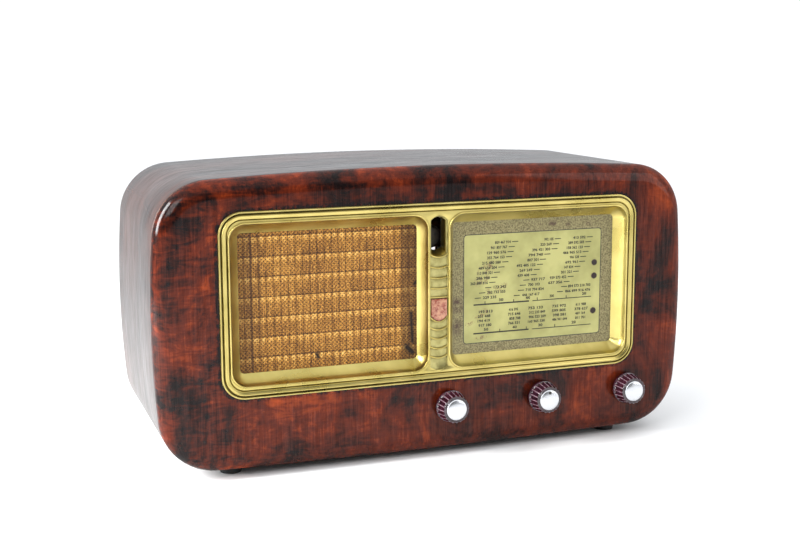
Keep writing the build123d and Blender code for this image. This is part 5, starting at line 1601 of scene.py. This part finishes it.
@dataclass
class Studio:
    """A pale floor, soft light and the camera of the photograph."""

    lens_mm: float = 56.78
    sensor_mm: float = 36.0
    yaw_degrees: float = 20.03
    pitch_degrees: float = 9.61
    roll_degrees: float = -0.22
    camera_place: Place = (-436.1 * MM, -1089.8 * MM, 382.66 * MM)
    floor_half: float = 60.0
    floor_mottle_mm: float = 333.333
    soft_boxes: tuple[SoftBox, ...] = (
        SoftBox("key", (-1.5, -1.4, 1.4), (0.0, 0.0, 0.15), (0.9, 0.9), 17.0),
        SoftBox("fill", (1.5, -1.5, 0.9), (0.0, 0.0, 0.15), (1.2, 1.2), 10.0),
        SoftBox("side", (-1.15, -0.1, 0.62), (-0.25, -0.1, 0.2), (0.35, 0.8), 36.0, 0.04))
    ceiling_power: float = 1.1
    ceiling_degrees: float = 120.0
    room_colour: str = "#f6fafe"
    room_bright_side: Place = (0.6, 1.0, 0.15)
    room_fade: tuple[float, ...] = (-0.85, 0.1, 0.12, 1.12)

    def build(self) -> None:
        """Make the camera, the floor and the lights."""
        self.camera()
        self.floor()
        self.surroundings()
        for soft_box in self.soft_boxes:
            self.hang(soft_box)
        self.ceiling()

    def camera(self) -> None:
        """Put the camera where the photograph was taken from."""
        data = bpy.data.cameras.new("camera")
        data.lens = self.lens_mm
        data.sensor_width = self.sensor_mm
        camera = put("camera", data)
        turn = Matrix.Rotation(-math.radians(self.yaw_degrees), 4, "Z")
        tilt = Matrix.Rotation(math.radians(90 - self.pitch_degrees), 4, "X")
        roll = Matrix.Rotation(math.radians(self.roll_degrees), 4, "Z")
        camera.matrix_world = Matrix.Translation(spot(*self.camera_place)) @ turn @ tilt @ roll
        bpy.context.scene.camera = camera

    def floor(self) -> None:
        """Make the plain pale floor."""
        mesh = bmesh.new()
        bmesh.ops.create_grid(mesh, x_segments=1, y_segments=1, size=self.floor_half)
        data = bpy.data.meshes.new("floor")
        mesh.to_mesh(data)
        mesh.free()
        r = Recipe("studio_paper")
        tone = r.add("TexNoise", {0: r.here, "Scale": 1000 / self.floor_mottle_mm, "Detail": 2.0})
        colour = r.add("ValToRGB", {0: tone}, stops=((0.3, "#f2f2f2"), (0.7, "#f6f6f6")))
        data.materials.append(r.finish(Base_Color=colour, Roughness=0.8))
        floor = put("floor", data)

    def surroundings(self) -> None:
        """Make the room white behind and beside the set and darker on the side that its front faces."""
        world = bpy.data.worlds.new("studio")
        world.use_nodes = True
        tree = world.node_tree
        coords = tree.nodes.new("ShaderNodeTexCoord")
        aside = tree.nodes.new("ShaderNodeVectorMath")
        aside.operation = "DOT_PRODUCT"
        aside.inputs[1].default_value = self.room_bright_side
        fade = tree.nodes.new("ShaderNodeMapRange")
        for index, value in enumerate(self.room_fade, 1):
            fade.inputs[index].default_value = value
        background = tree.nodes["Background"]
        background.inputs["Color"].default_value = linear(self.room_colour)
        tree.links.new(coords.outputs["Generated"], aside.inputs[0])
        tree.links.new(aside.outputs["Value"], fade.inputs[0])
        tree.links.new(fade.outputs[0], background.inputs["Strength"])
        bpy.context.scene.world = world

    def ceiling(self) -> None:
        """Light the floor evenly from straight above, as through a ceiling of cloth."""
        data = bpy.data.lights.new("ceiling", "SUN")
        data.energy = self.ceiling_power
        data.angle = math.radians(self.ceiling_degrees)
        put("ceiling", data)

    def hang(self, soft_box: SoftBox) -> None:
        """Hang one soft box.

        Args:
            soft_box: Its place, size and power.
        """
        data = bpy.data.lights.new(soft_box.name, "AREA")
        data.shape = "RECTANGLE"
        data.size, data.size_y = soft_box.size
        data.energy = soft_box.power
        data.diffuse_factor = soft_box.matt_share
        light = put(soft_box.name, data)
        light.location = soft_box.place
        aim = Vector(soft_box.aim) - Vector(soft_box.place)
        light.rotation_euler = aim.to_track_quat("-Z", "Y").to_euler()


def main() -> None:
    """Build every sub-assembly in order."""
    logging.basicConfig(level=logging.INFO, format="%(message)s")
    bpy.context.scene.view_settings.view_transform = "Standard"
    Studio().build()
    finishes = Finishes()
    finishes.dress_nodes()
    Cabinet(finishes).build()
    Surround(finishes).build()
    Badge(finishes).build()
    SpeakerCloth(finishes).build()
    Dial(finishes).build()
    for control in ("volume", "wave", "tuning"):
        Knob(finishes, control, marked=control == "wave").build()


if __name__ == "__main__":
    main()
